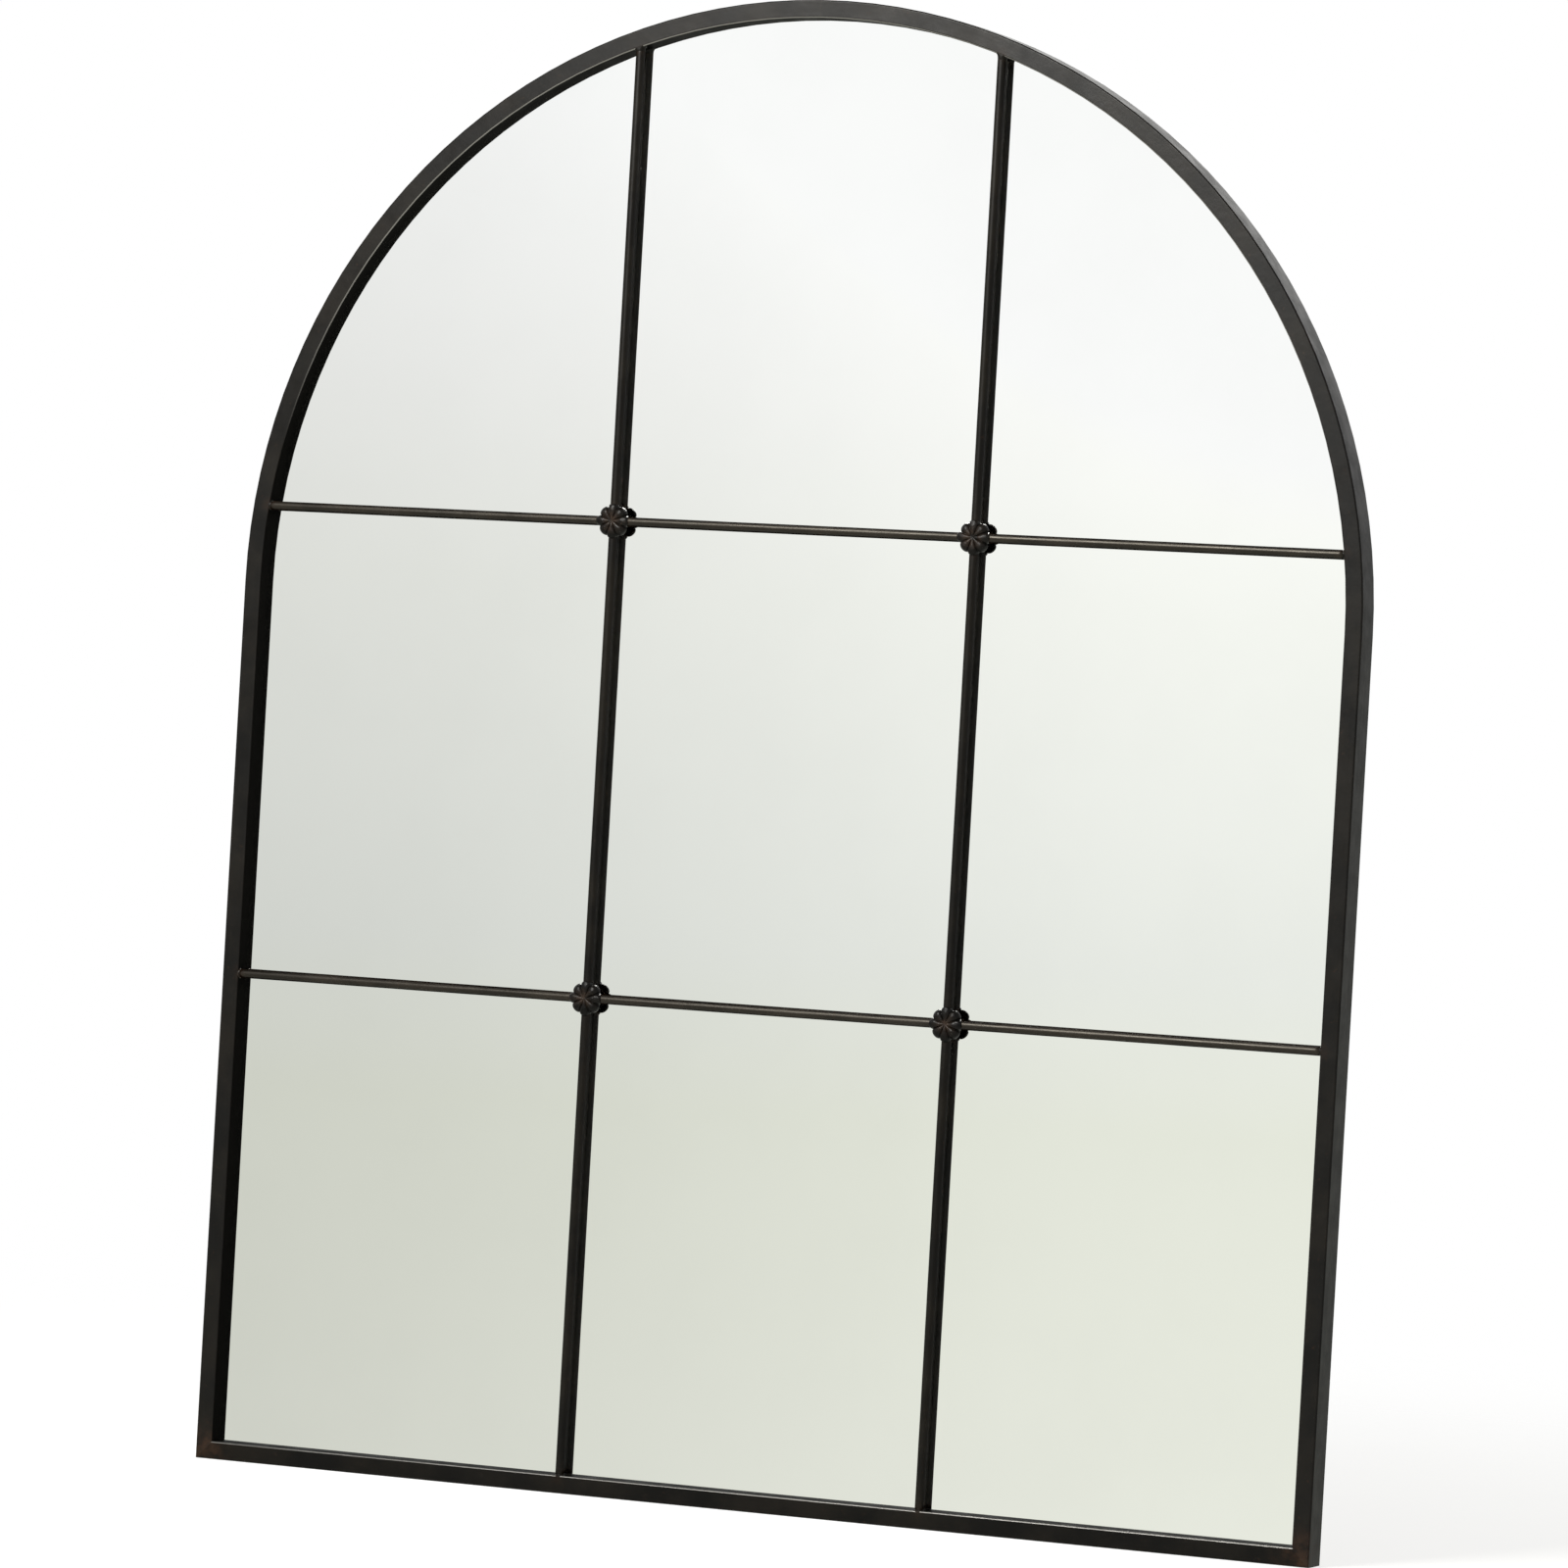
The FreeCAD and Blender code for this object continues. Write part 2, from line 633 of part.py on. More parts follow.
def make_tabs():
    """Set the tabs round the inside of the rim."""
    tabs = []
    for name, share in SIDE_TAB_SHARES.items():
        level = f"{share} * dims.side_height"
        tabs.append(make_tab(f"left_{name}_tab", "-dims.rim_inner_half_width", level, 0))
        tabs.append(make_tab(f"right_{name}_tab", "dims.rim_inner_half_width", level, HALF_TURN))
    for name, share in BOTTOM_TAB_SHARES.items():
        across = f"{share} * dims.half_width"
        tabs.append(make_tab(f"bottom_{name}_tab", across, "dims.rim_thickness", -HALF_TURN / 2))
    for name, direction in ARCH_TAB_DIRECTIONS.items():
        across = f"dims.arch_tab_radius * cos({direction})"
        level = f"dims.side_height + dims.arch_tab_radius * sin({direction})"
        tabs.append(make_tab(f"arch_{name}_tab", across, level, HALF_TURN - direction))
    return tabs


# Hangers
def make_hanger_plate():
    """Form the left hanger: a plate welded to the side rim, its top rolled into a knuckle."""
    body = new_body("left_hanger_plate")
    front, rear, height = size("hanger_plate_front"), size("hanger_plate_rear"), size("hanger_height")
    section = new_sketch(body, "section", "YZ_Plane")
    corners = [(-front, -height), (-rear, -height), (-rear, 0), (-front, 0)]
    sides = [add_line(section, corners[side], corners[(side + 1) % 4]) for side in range(4)]
    for side in range(4):
        constrain(section, ("Coincident", sides[side], At.END, sides[(side + 1) % 4], At.START))
    constrain(
        section,
        ("Horizontal", sides[0]),
        ("Vertical", sides[1]),
        ("Horizontal", sides[2]),
        ("Vertical", sides[3]),
        ("PointOnObject", sides[2], At.START, Axis.HORIZONTAL),
    )
    dimension(section, "hanger_height", "DistanceY", sides[1], At.START, sides[1], At.END)
    dimension(section, "hanger_plate_rear", "DistanceX", sides[2], At.START, Axis.HORIZONTAL, At.START)
    dimension(section, "hanger_plate_front", "DistanceX", sides[2], At.END, Axis.HORIZONTAL, At.START)
    pad(body, section, "plate", "dims.hanger_width", symmetric=True)
    roll = new_sketch(body, "roll", "YZ_Plane")
    add_circle(roll, "knuckle_outer_radius")
    pad(body, roll, "knuckle", "dims.knuckle_length", symmetric=True)
    bore = new_sketch(body, "bore_outline", "YZ_Plane")
    add_circle(bore, "knuckle_bore_radius")
    pocket(body, bore, "bore", "2 * dims.knuckle_length", symmetric=True)
    place(body, x="-dims.hinge_x", y="dims.hinge_y", z="dims.hinge_z")
    return body


def make_hanging_ring():
    """Bend the left hanging ring, its straight leg through the knuckle and its bow hanging down."""
    body = new_body("left_hanging_ring")
    half, leg = size("ring_half_width"), size("ring_leg_half_length")
    corner, arm = size("ring_corner_radius"), size("ring_arm_length")
    spine = new_sketch(body, "spine", "XZ_Plane")
    straight = add_line(spine, (-leg, 0), (leg, 0))
    right_corner = add_arc(spine, (leg, -corner), corner, 0, 90)
    right_arm = add_line(spine, (half, -corner), (half, -arm))
    bow = add_arc(spine, (0, -arm), half, HALF_TURN, 2 * HALF_TURN)
    left_arm = add_line(spine, (-half, -arm), (-half, -corner))
    left_corner = add_arc(spine, (-leg, -corner), corner, 90, HALF_TURN)
    constrain(
        spine,
        ("Tangent", straight, At.END, right_corner, At.END),
        ("Tangent", right_corner, At.START, right_arm, At.START),
        ("Tangent", right_arm, At.END, bow, At.END),
        ("Tangent", bow, At.START, left_arm, At.START),
        ("Tangent", left_arm, At.END, left_corner, At.END),
        ("Tangent", left_corner, At.START, straight, At.START),
        ("Horizontal", straight),
        ("Vertical", right_arm),
        ("Symmetric", straight, At.START, straight, At.END, Axis.HORIZONTAL, At.START),
        ("Equal", left_corner, right_corner),
    )
    dimension(spine, "ring_half_width", "Radius", bow)
    dimension(spine, "ring_corner_radius", "Radius", right_corner)
    dimension(spine, "ring_arm_length", "DistanceY", bow, At.CENTRE, Axis.HORIZONTAL, At.START)
    wire = new_sketch(body, "wire_section", "YZ_Plane")
    add_circle(wire, "ring_wire_radius")
    doc.recompute()
    ring = body.newObject("PartDesign::AdditivePipe", f"{body.Label}_wire")
    ring.Profile = wire
    ring.Spine = (spine, [f"Edge{number}" for number in range(1, 7)])
    doc.recompute()
    place(body, x="-dims.hinge_x", y="dims.hinge_y", z="dims.hinge_z")
    return body


def save(nodes):
    """Check every object and write each sub-part to its own file."""
    doc.recompute()
    for item in doc.Objects:
        if "Invalid" in item.State or "Error" in item.State:
            raise RuntimeError(f"{item.Label} did not build: {item.State}")
    os.makedirs("parts", exist_ok=True)
    for node in nodes:
        if node.Shape.isNull() or not node.Shape.isValid() or len(node.Shape.Solids) != 1:
            raise RuntimeError(f"{node.Label} is not one sound solid")
        node.Shape.exportStep(f"parts/{node.Label}.step")


fill_sheet()
left_rail = make_side_rail()
left_rim = make_side_rim()
frame_nodes = [left_rail, mirror_copy(left_rail, "right_rail"), make_bottom_rail()]
frame_nodes += [left_rim, mirror_copy(left_rim, "right_rim"), make_bottom_rim()]
rod_space = make_opening()
left_upright = make_upright(rod_space)
grille_nodes = [left_upright, mirror_copy(left_upright, "right_upright")]
grille_nodes += make_cross_rods(rod_space)
grille_nodes += make_rosettes()
pane_nodes = [
    make_pane("mirror_glass", "dims.glass_thickness", "dims.glass_back_y"),
    make_pane("back_board", "dims.board_thickness", "dims.board_back_y"),
]
left_plate = make_hanger_plate()
left_ring = make_hanging_ring()
hanger_nodes = [left_plate, mirror_copy(left_plate, "right_hanger_plate")]
hanger_nodes += [left_ring, mirror_copy(left_ring, "right_hanging_ring")]
save(frame_nodes + grille_nodes + pane_nodes + make_tabs() + hanger_nodes)
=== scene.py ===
"""Arched wall mirror: finishes, finer iron, weld beads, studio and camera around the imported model."""

import logging
import math
from dataclasses import dataclass
from enum import Enum
from typing import Any, Callable, Iterable, Mapping, NamedTuple, Sequence

import bmesh
import bpy
from mathutils import Matrix, Vector, noise


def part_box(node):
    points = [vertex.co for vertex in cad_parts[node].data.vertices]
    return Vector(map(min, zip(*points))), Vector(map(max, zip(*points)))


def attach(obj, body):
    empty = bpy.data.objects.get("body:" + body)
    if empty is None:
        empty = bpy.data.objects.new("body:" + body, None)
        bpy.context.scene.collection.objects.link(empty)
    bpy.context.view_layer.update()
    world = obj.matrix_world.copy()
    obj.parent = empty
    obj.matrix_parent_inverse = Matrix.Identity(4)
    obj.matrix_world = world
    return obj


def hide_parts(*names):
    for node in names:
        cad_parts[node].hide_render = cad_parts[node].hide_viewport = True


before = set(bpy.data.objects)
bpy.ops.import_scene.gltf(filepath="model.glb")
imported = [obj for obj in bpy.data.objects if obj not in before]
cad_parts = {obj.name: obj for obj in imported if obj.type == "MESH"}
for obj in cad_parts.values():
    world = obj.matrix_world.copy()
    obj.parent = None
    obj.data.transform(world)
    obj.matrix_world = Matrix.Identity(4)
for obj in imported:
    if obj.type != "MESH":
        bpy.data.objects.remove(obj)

LOG = logging.getLogger("arched_wall_mirror")
FRAME_BODY = "frame"

Colour = tuple[float, float, float, float]
Point = tuple[float, float, float]
Socket = bpy.types.NodeSocket

WHITE: Colour = (1.0, 1.0, 1.0, 1.0)


class Slot(Enum):
    """Material slots of the record."""

    PATINATED_IRON = "patinated_iron"
    CAST_IRON = "cast_iron"
    SILVERED_GLASS = "silvered_glass"
    HARDBOARD = "hardboard"
    ZINC_STEEL = "zinc_steel"


class Run(Enum):
    """Which way the drawn streaks of an iron piece run."""

    ARCHED = "arched"
    LEVEL = "level"
    UPRIGHT = "upright"
    NONE = "none"


class RodEnd(Enum):
    """Which way a rod runs away from the rail that it is welded to."""

    UP = "up"
    DOWN = "down"
    RIGHT = "right"
    LEFT = "left"


# Shader building


class Cloud(NamedTuple):
    """A cloud pattern: clouds in a metre, number of finer layers and their weight."""

    scale: float
    detail: float = 3.0
    rough: float = 0.5


class Fade(NamedTuple):
    """A smooth change of a number: where it begins and is complete, and the results there."""

    low: float
    high: float
    start: float = 0.0
    end: float = 1.0

    def to(self, start: float, end: float) -> "Fade":
        """Give the same change between two other results."""
        return Fade(self.low, self.high, start, end)


class ShaderSheet:
    """A node tree with short ways to add nodes and join them."""

    BEVEL_SAMPLES = 6
    EDGE_FADE = Fade(0.995, 0.86)
    CREST_FADE = Fade(0.49, 0.56)
    STREAK_CLOUD = Cloud(1.0, 3.0, 0.55)

    def __init__(self, tree: bpy.types.NodeTree) -> None:
        """Empty the tree and keep it.

        Args:
            tree: node tree of a material or of the world.
        """
        self.tree = tree
        self.tree.nodes.clear()

    def add(
        self, kind: str, inputs: Mapping[Any, Any] | None = None, **settings: Any
    ) -> bpy.types.Node:
        """Add a node.

        Args:
            kind: the node's type name, without the leading ShaderNode.
            inputs: sockets to join or values to set, by input name or number.
            settings: attributes of the node itself.

        Returns:
            The new node.
        """
        node = self.tree.nodes.new(f"ShaderNode{kind}")
        for name, setting in settings.items():
            setattr(node, name, setting)
        for key, given in (inputs or {}).items():
            if isinstance(given, Socket):
                self.tree.links.new(given, node.inputs[key])
            else:
                node.inputs[key].default_value = given
        return node

    def place(self) -> Socket:
        """Give the position on the object in metres."""
        return self.add("TexCoord").outputs["Object"]

    def geometry(self, name: str) -> Socket:
        """Give a value of the mesh's geometry by its output's name."""
        return self.add("NewGeometry").outputs[name]

    def split(self, vector: Socket) -> Mapping[str, Socket]:
        """Give the X, Y and Z of a vector."""
        return self.add("SeparateXYZ", {0: vector}).outputs

    def noise(self, cloud: Cloud, at: Socket | None = None) -> Socket:
        """Add a cloud pattern.

        Args:
            cloud: the pattern.
            at: position to read, the object's own where none is given.

        Returns:
            The pattern's strength.
        """
        inputs = {
            "Vector": at or self.place(),
            "Scale": cloud.scale,
            "Detail": cloud.detail,
            "Roughness": cloud.rough,
        }
        return self.add("TexNoise", inputs).outputs["Fac"]

    def math(self, operation: str, first: Any, second: Any = 0.0) -> Socket:
        """Combine two numbers or sockets."""
        return self.add("Math", {0: first, 1: second}, operation=operation).outputs[0]

    def weigh(self, first: Socket, second: Socket, share: float) -> Socket:
        """Add two numbers, the first by its share and the second by the rest."""
        rest = self.math("MULTIPLY", second, 1.0 - share)
        return self.math("ADD", self.math("MULTIPLY", first, share), rest)

    def ramp(self, fac: Socket, fade: Fade) -> Socket:
        """Carry a number smoothly from one range to another.

        Args:
            fac: the number.
            fade: the change.

        Returns:
            The carried number, held at the fade's two results outside its range.
        """
        inputs = {
            "Value": fac,
            "From Min": fade.low,
            "From Max": fade.high,
            "To Min": fade.start,
            "To Max": fade.end,
        }
        return self.add("MapRange", inputs, interpolation_type="SMOOTHSTEP").outputs["Result"]

    def rise(self, height: Socket, spring: float) -> Socket:
        """Give the height above the spring of the arch, 0 below it."""
        return self.math("MAXIMUM", self.math("SUBTRACT", height, spring), 0.0)

    def streaks(self, run: Run, spring: float, pitch: float, length: float) -> Socket:
        """Add drawn streaks that follow a bar.

        Args:
            run: which way the bar runs.
            spring: height at which the arch begins.
            pitch: width of a streak.
            length: length of a streak.

        Returns:
            The strength of the streaks.
        """
        parts = self.split(self.place())
        across, along = parts["X"], parts["Z"]
        if run is Run.ARCHED:
            rise = self.rise(parts["Z"], spring)
            square = self.math("MULTIPLY", across, across)
            across = self.math("SQRT", self.math("ADD", square, self.math("MULTIPLY", rise, rise)))
            along = self.math("ADD", parts["Z"], parts["X"])
        elif run is Run.LEVEL:
            across, along = parts["Z"], parts["X"]
        fine = self.math("DIVIDE", across, pitch)
        deep = self.math("DIVIDE", parts["Y"], pitch)
        drawn = self.math("DIVIDE", along, length)
        where = self.add("CombineXYZ", {0: fine, 1: deep, 2: drawn}).outputs[0]
        return self.noise(self.STREAK_CLOUD, where)

    def blend(self, fac: Any, first: Any, second: Any) -> Socket:
        """Mix two colours by a number or socket."""
        mix = self.add("Mix", {0: fac, 6: first, 7: second}, data_type="RGBA")
        return mix.outputs[2]

    def scaled(self, colour: Any, share: Any) -> Socket:
        """Multiply a colour by a number or socket."""
        return self.add("VectorMath", {0: colour, "Scale": share}, operation="SCALE").outputs[0]

    def near(self, points: Sequence[Point], reach: float) -> Socket:
        """Mark what lies near any of some points.

        Args:
            points: places in metres.
            reach: distance at which the mark has faded out.

        Returns:
            1 at a point, falling to 0 at the reach.
        """
        here = self.place()
        nearest: Socket | None = None
        for point in points:
            gap = self.add("VectorMath", {0: here, 1: point}, operation="DISTANCE").outputs["Value"]
            nearest = gap if nearest is None else self.math("MINIMUM", nearest, gap)
        return self.ramp(nearest, Fade(0.0, reach, 1.0, 0.0))

    def edges(self, radius: float) -> Socket:
        """Mark the sharp edges of the mesh.

        Args:
            radius: how far from an edge the mark reaches, in metres.

        Returns:
            1 on an edge and 0 on open faces.
        """
        rounded = self.add("Bevel", {"Radius": radius}, samples=self.BEVEL_SAMPLES).outputs[0]
        true = self.geometry("Normal")
        agree = self.add("VectorMath", {0: rounded, 1: true}, operation="DOT_PRODUCT")
        return self.ramp(agree.outputs["Value"], self.EDGE_FADE)

    def inwardness(self, run: Run, spring: float) -> Socket:
        """Tell how far a face of the frame looks into its opening.

        Args:
            run: which way the bar runs.
            spring: height at which the arch begins.

        Returns:
            1 on a face that looks into the opening, 0 on the front and -1 on the outside.
        """
        normal = self.geometry("Normal")
        if run is Run.LEVEL:
            return self.split(normal)["Z"]
        parts = self.split(self.place())
        outward = self.add("CombineXYZ", {0: parts["X"], 2: self.rise(parts["Z"], spring)}).outputs[0]
        outward = self.add("VectorMath", {0: outward}, operation="NORMALIZE").outputs[0]
        share = self.add("VectorMath", {0: normal, 1: outward}, operation="DOT_PRODUCT")
        return self.math("MULTIPLY", share.outputs["Value"], -1.0)

    def crests(self) -> Socket:
        """Mark the raised parts of a rounded mesh, 1 on a crest and 0 in a hollow."""
        return self.ramp(self.geometry("Pointiness"), self.CREST_FADE)

    def bump(
        self, height: Socket, strength: float, distance: float, under: Socket | None = None
    ) -> Socket:
        """Turn a height into a surface normal.

        Args:
            height: pattern of heights.
            strength: share of the effect.
            distance: height of the pattern's full range, in metres.
            under: normal of a coarser layer below.

        Returns:
            The disturbed normal.
        """
        inputs: dict[str, Any] = {"Height": height, "Strength": strength, "Distance": distance}
        if under is not None:
            inputs["Normal"] = under
        return self.add("Bump", inputs).outputs["Normal"]

    def mixed(self, fac: Socket, first: bpy.types.Node, second: bpy.types.Node) -> bpy.types.Node:
        """Mix two shaders by a socket."""
        return self.add("MixShader", {0: fac, 1: first.outputs[0], 2: second.outputs[0]})

    def surface(self, inputs: Mapping[str, Any]) -> None:
        """End the tree in a surface shader and the output.

        Args:
            inputs: values and sockets of the surface shader, by input name.
        """
        shader = self.add("BsdfPrincipled", inputs)
        self.add("OutputMaterial", {"Surface": shader.outputs[0]})


def new_material(name: str) -> tuple[bpy.types.Material, ShaderSheet]:
    """Start a material.

    Args:
        name: name of the finish.

    Returns:
        The material and the sheet that holds its nodes.
    """
    material = bpy.data.materials.new(name)
    material.use_nodes = True
    return material, ShaderSheet(material.node_tree)


# Finishes


@dataclass(frozen=True)
class Tint:
    """The brown that heat and rust leave round some points."""

    points: tuple[Point, ...]
    reach: float
    share: float


@dataclass(frozen=True)
class Iron:
    """Black patinated iron with brown worn edges, tinted welds and painted shade inside the opening.
    Lengths are in metres.
    """

    name: str
    slot: Slot
    tints: tuple[Tint, ...] = ()
    run: Run = Run.NONE
    frames_opening: bool = False
    spring: float = 0.6
    dark: Colour = (0.0018, 0.0015, 0.0011, 1.0)
    light: Colour = (0.0068, 0.0054, 0.0037, 1.0)
    brown: Colour = (0.034, 0.017, 0.009, 1.0)
    worn: Colour = (0.030, 0.022, 0.016, 1.0)
    # Near-black painted shade for the faces that look into the opening.
    painted_inner_shade: Colour = (0.0030, 0.0028, 0.0024, 1.0)
    bare: Colour = (0.27, 0.26, 0.245, 1.0)
    sheen: Colour = WHITE
    smoothest: float = 0.34
    roughest: float = 0.46
    specular: float = 0.18
    outline_gloss: float = 1.0
    grain_height: float = 0.000006
    streak_height: float = 0.000012
    dent_height: float = 0.00009
    dent_scale: float = 160.0

    # Patterns of the coat, and the strengths between which each sets in.
    BLOTCHES = Cloud(26.0, 6.0, 0.6)
    BLOTCH_FADE = Fade(0.35, 0.68)
    SPECKS = Cloud(210.0, 8.0, 0.68)
    SPECK_FADE = Fade(0.60, 0.74, 0.0, 0.55)
    TINT_PATCHES = Cloud(120.0, 5.0, 0.6)
    TINT_FADE = Fade(0.30, 0.70)
    RUBBING = Cloud(75.0, 6.0, 0.65)
    RUBBED_FADE = Fade(0.42, 0.66)
    WORN_EDGE = 0.0012

    # Gloss, painted shade and bare metal by the way that a face looks.
    OUTLINE_FADE = Fade(0.25, 0.55)
    INSIDE_FADE = Fade(0.6, 0.95)
    INSIDE_GLOSS = 0.02
    ARRIS_BEGINS = Fade(0.25, 0.5)
    ARRIS_ENDS = Fade(0.97, 0.80)
    BARE_ABOVE_SPRING = (0.08, 0.26)

    # Polish and relief.
    POLISH = Cloud(60.0, 5.0, 0.6)
    POLISH_FADE = Fade(0.3, 0.7)
    STREAK_WIDTH = 0.0007
    STREAK_LENGTH = 0.045
    STREAK_ROUGHNESS = Fade(0.3, 0.7, -0.025, 0.025)
    GRAIN = Cloud(1500.0, 4.0, 0.6)

    def coat(self, sheet: ShaderSheet) -> Socket:
        """Colour the iron: blotched black, brown specks, tinted welds and worn edges.

        Args:
            sheet: node sheet of the material.

        Returns:
            The colour.
        """
        blotch = sheet.ramp(sheet.noise(self.BLOTCHES), self.BLOTCH_FADE)
        colour = sheet.blend(blotch, self.dark, self.light)
        specks = sheet.ramp(sheet.noise(self.SPECKS), self.SPECK_FADE)
        colour = sheet.blend(specks, colour, self.brown)
        for tint in self.tints:
            around = sheet.near(tint.points, tint.reach)
            patchy = sheet.ramp(sheet.noise(self.TINT_PATCHES), self.TINT_FADE.to(0.0, tint.share))
            colour = sheet.blend(sheet.math("MULTIPLY", around, patchy), colour, self.brown)
        rubbed = sheet.ramp(sheet.noise(self.RUBBING), self.RUBBED_FADE)
        raised = sheet.crests() if self.slot is Slot.CAST_IRON else sheet.edges(self.WORN_EDGE)
        return sheet.blend(sheet.math("MULTIPLY", raised, rubbed), colour, self.worn)

    def bare_arris(self, sheet: ShaderSheet, inward: Socket) -> Socket:
        """Mark the inner arris of the frame, which is rubbed to bare metal.

        Args:
            sheet: node sheet of the material.
            inward: how far a face looks into the opening.

        Returns:
            1 on bare metal and 0 elsewhere.
        """
        begins = sheet.ramp(inward, self.ARRIS_BEGINS)
        arris = sheet.math("MULTIPLY", begins, sheet.ramp(inward, self.ARRIS_ENDS))
        if self.run is not Run.ARCHED:
            return arris
        height = sheet.split(sheet.place())["Z"]
        low, high = self.BARE_ABOVE_SPRING
        reached = sheet.ramp(height, Fade(self.spring + low, self.spring + high))
        return sheet.math("MULTIPLY", arris, reached)

    def relief(self, sheet: ShaderSheet) -> tuple[Socket, Socket]:
        """Give the iron its dents, drawn streaks and grain.

        Args:
            sheet: node sheet of the material.

        Returns:
            The roughness and the surface normal.
        """
        polish = self.POLISH_FADE.to(self.smoothest, self.roughest)
        roughness = sheet.ramp(sheet.noise(self.POLISH), polish)
        normal = sheet.bump(sheet.noise(Cloud(self.dent_scale)), 1.0, self.dent_height)
        if self.run is not Run.NONE:
            drawn = sheet.streaks(self.run, self.spring, self.STREAK_WIDTH, self.STREAK_LENGTH)
            roughness = sheet.math("ADD", roughness, sheet.ramp(drawn, self.STREAK_ROUGHNESS))
            normal = sheet.bump(drawn, 1.0, self.streak_height, normal)
        normal = sheet.bump(sheet.noise(self.GRAIN), 1.0, self.grain_height, normal)
        return roughness, normal

    def build(self) -> bpy.types.Material:
        """Make the material.

        Returns:
            The finished material.
        """
        material, sheet = new_material(self.name)
        colour = self.coat(sheet)
        aside = sheet.add("LayerWeight").outputs["Facing"]
        outline = self.OUTLINE_FADE.to(self.specular, self.outline_gloss * self.specular)
        specular = sheet.ramp(aside, outline)
        metal: Any = 0.0
        if self.frames_opening:
            inward = sheet.inwardness(self.run, self.spring)
            # Faces that look into the opening get a near-black painted shade and lose their gloss.
            colour = sheet.blend(sheet.ramp(inward, self.INSIDE_FADE), colour, self.painted_inner_shade)
            inside = sheet.ramp(inward, self.INSIDE_FADE.to(1.0, self.INSIDE_GLOSS))
            specular = sheet.math("MULTIPLY", specular, inside)
            metal = self.bare_arris(sheet, inward)
            colour = sheet.blend(metal, colour, self.bare)
        roughness, normal = self.relief(sheet)
        sheet.surface(
            {
                "Base Color": colour,
                "Roughness": roughness,
                "Metallic": metal,
                "Specular IOR Level": specular,
                "Specular Tint": self.sheen,
                "Normal": normal,
            }
        )
        return material


@dataclass(frozen=True)
class MirrorGlass:
    """Float glass silvered behind: a clean mirror in front, green edges and grey backing paint."""

    slot: Slot = Slot.SILVERED_GLASS
    silver: Colour = (0.965, 0.975, 0.965, 1.0)
    film: Colour = (0.945, 0.955, 0.945, 1.0)
    edge: Colour = (0.10, 0.22, 0.17, 1.0)
    paint: Colour = (0.28, 0.29, 0.30, 1.0)

    FRONT = Fade(-0.6, -0.9)
    BACK = Fade(0.6, 0.9)
    FILM_CLOUDS = Cloud(7.0, 5.0, 0.6)
    FILM_FADE = Fade(0.35, 0.75)
    FILM_HAZE = Fade(0.0, 1.0, 0.0, 0.012)
    PAINT_SPECKLE = Cloud(420.0)
    PAINT_FADE = Fade(0.3, 0.7)
    PAINT_ROUGHNESS = 0.5

    def build(self) -> bpy.types.Material:
        """Make the material.

        Returns:
            The finished material.
        """
        material, sheet = new_material(self.slot.value)
        facing = sheet.split(sheet.geometry("True Normal"))["Y"]
        front = sheet.ramp(facing, self.FRONT)
        back = sheet.ramp(facing, self.BACK)
        clouds = sheet.ramp(sheet.noise(self.FILM_CLOUDS), self.FILM_FADE)
        mirror = sheet.blend(clouds, self.silver, self.film)
        speckle = sheet.ramp(sheet.noise(self.PAINT_SPECKLE), self.PAINT_FADE)
        backing = sheet.blend(speckle, self.paint, self.edge)
        rest = sheet.blend(back, self.edge, backing)
        haze = sheet.ramp(clouds, self.FILM_HAZE)
        dull = sheet.math("MULTIPLY", back, self.PAINT_ROUGHNESS)
        sheet.surface(
            {
                "Base Color": sheet.blend(front, rest, mirror),
                "Metallic": front,
                "Roughness": sheet.math("MAXIMUM", haze, dull),
            }
        )
        return material


@dataclass(frozen=True)
class Hardboard:
    """Pressed-fibre board with the screen pattern on its rough back."""

    slot: Slot = Slot.HARDBOARD
    pale: Colour = (0.27, 0.165, 0.088, 1.0)
    deep: Colour = (0.155, 0.088, 0.043, 1.0)
    screen_pitch: float = 0.0026
    screen_height: float = 0.00012
    fibre_height: float = 0.00015

    FIBRES = Cloud(900.0, 6.0, 0.7)
    CLOUDS = Cloud(14.0, 5.0, 0.6)
    FIBRE_SHARE = 0.6
    COLOUR_FADE = Fade(0.36, 0.64)
    ROUGHNESS = Fade(0.3, 0.7, 0.72, 0.92)
    SPECULAR = 0.25
    SCREEN_STRENGTH = 0.6
    FIBRE_STRENGTH = 0.8

    def build(self) -> bpy.types.Material:
        """Make the material.

        Returns:
            The finished material.
        """
        material, sheet = new_material(self.slot.value)
        fibres = sheet.noise(self.FIBRES)
        mottle = sheet.weigh(fibres, sheet.noise(self.CLOUDS), self.FIBRE_SHARE)
        turns = 2.0 * math.pi / self.screen_pitch
        parts = sheet.split(sheet.place())
        across = sheet.math("SINE", sheet.math("MULTIPLY", parts["X"], turns))
        upward = sheet.math("SINE", sheet.math("MULTIPLY", parts["Z"], turns))
        screen = sheet.math("ADD", across, upward)
        normal = sheet.bump(screen, self.SCREEN_STRENGTH, self.screen_height)
        normal = sheet.bump(fibres, self.FIBRE_STRENGTH, self.fibre_height, normal)
        sheet.surface(
            {
                "Base Color": sheet.blend(sheet.ramp(mottle, self.COLOUR_FADE), self.deep, self.pale),
                "Roughness": sheet.ramp(fibres, self.ROUGHNESS),
                "Specular IOR Level": self.SPECULAR,
                "Normal": normal,
            }
        )
        return material


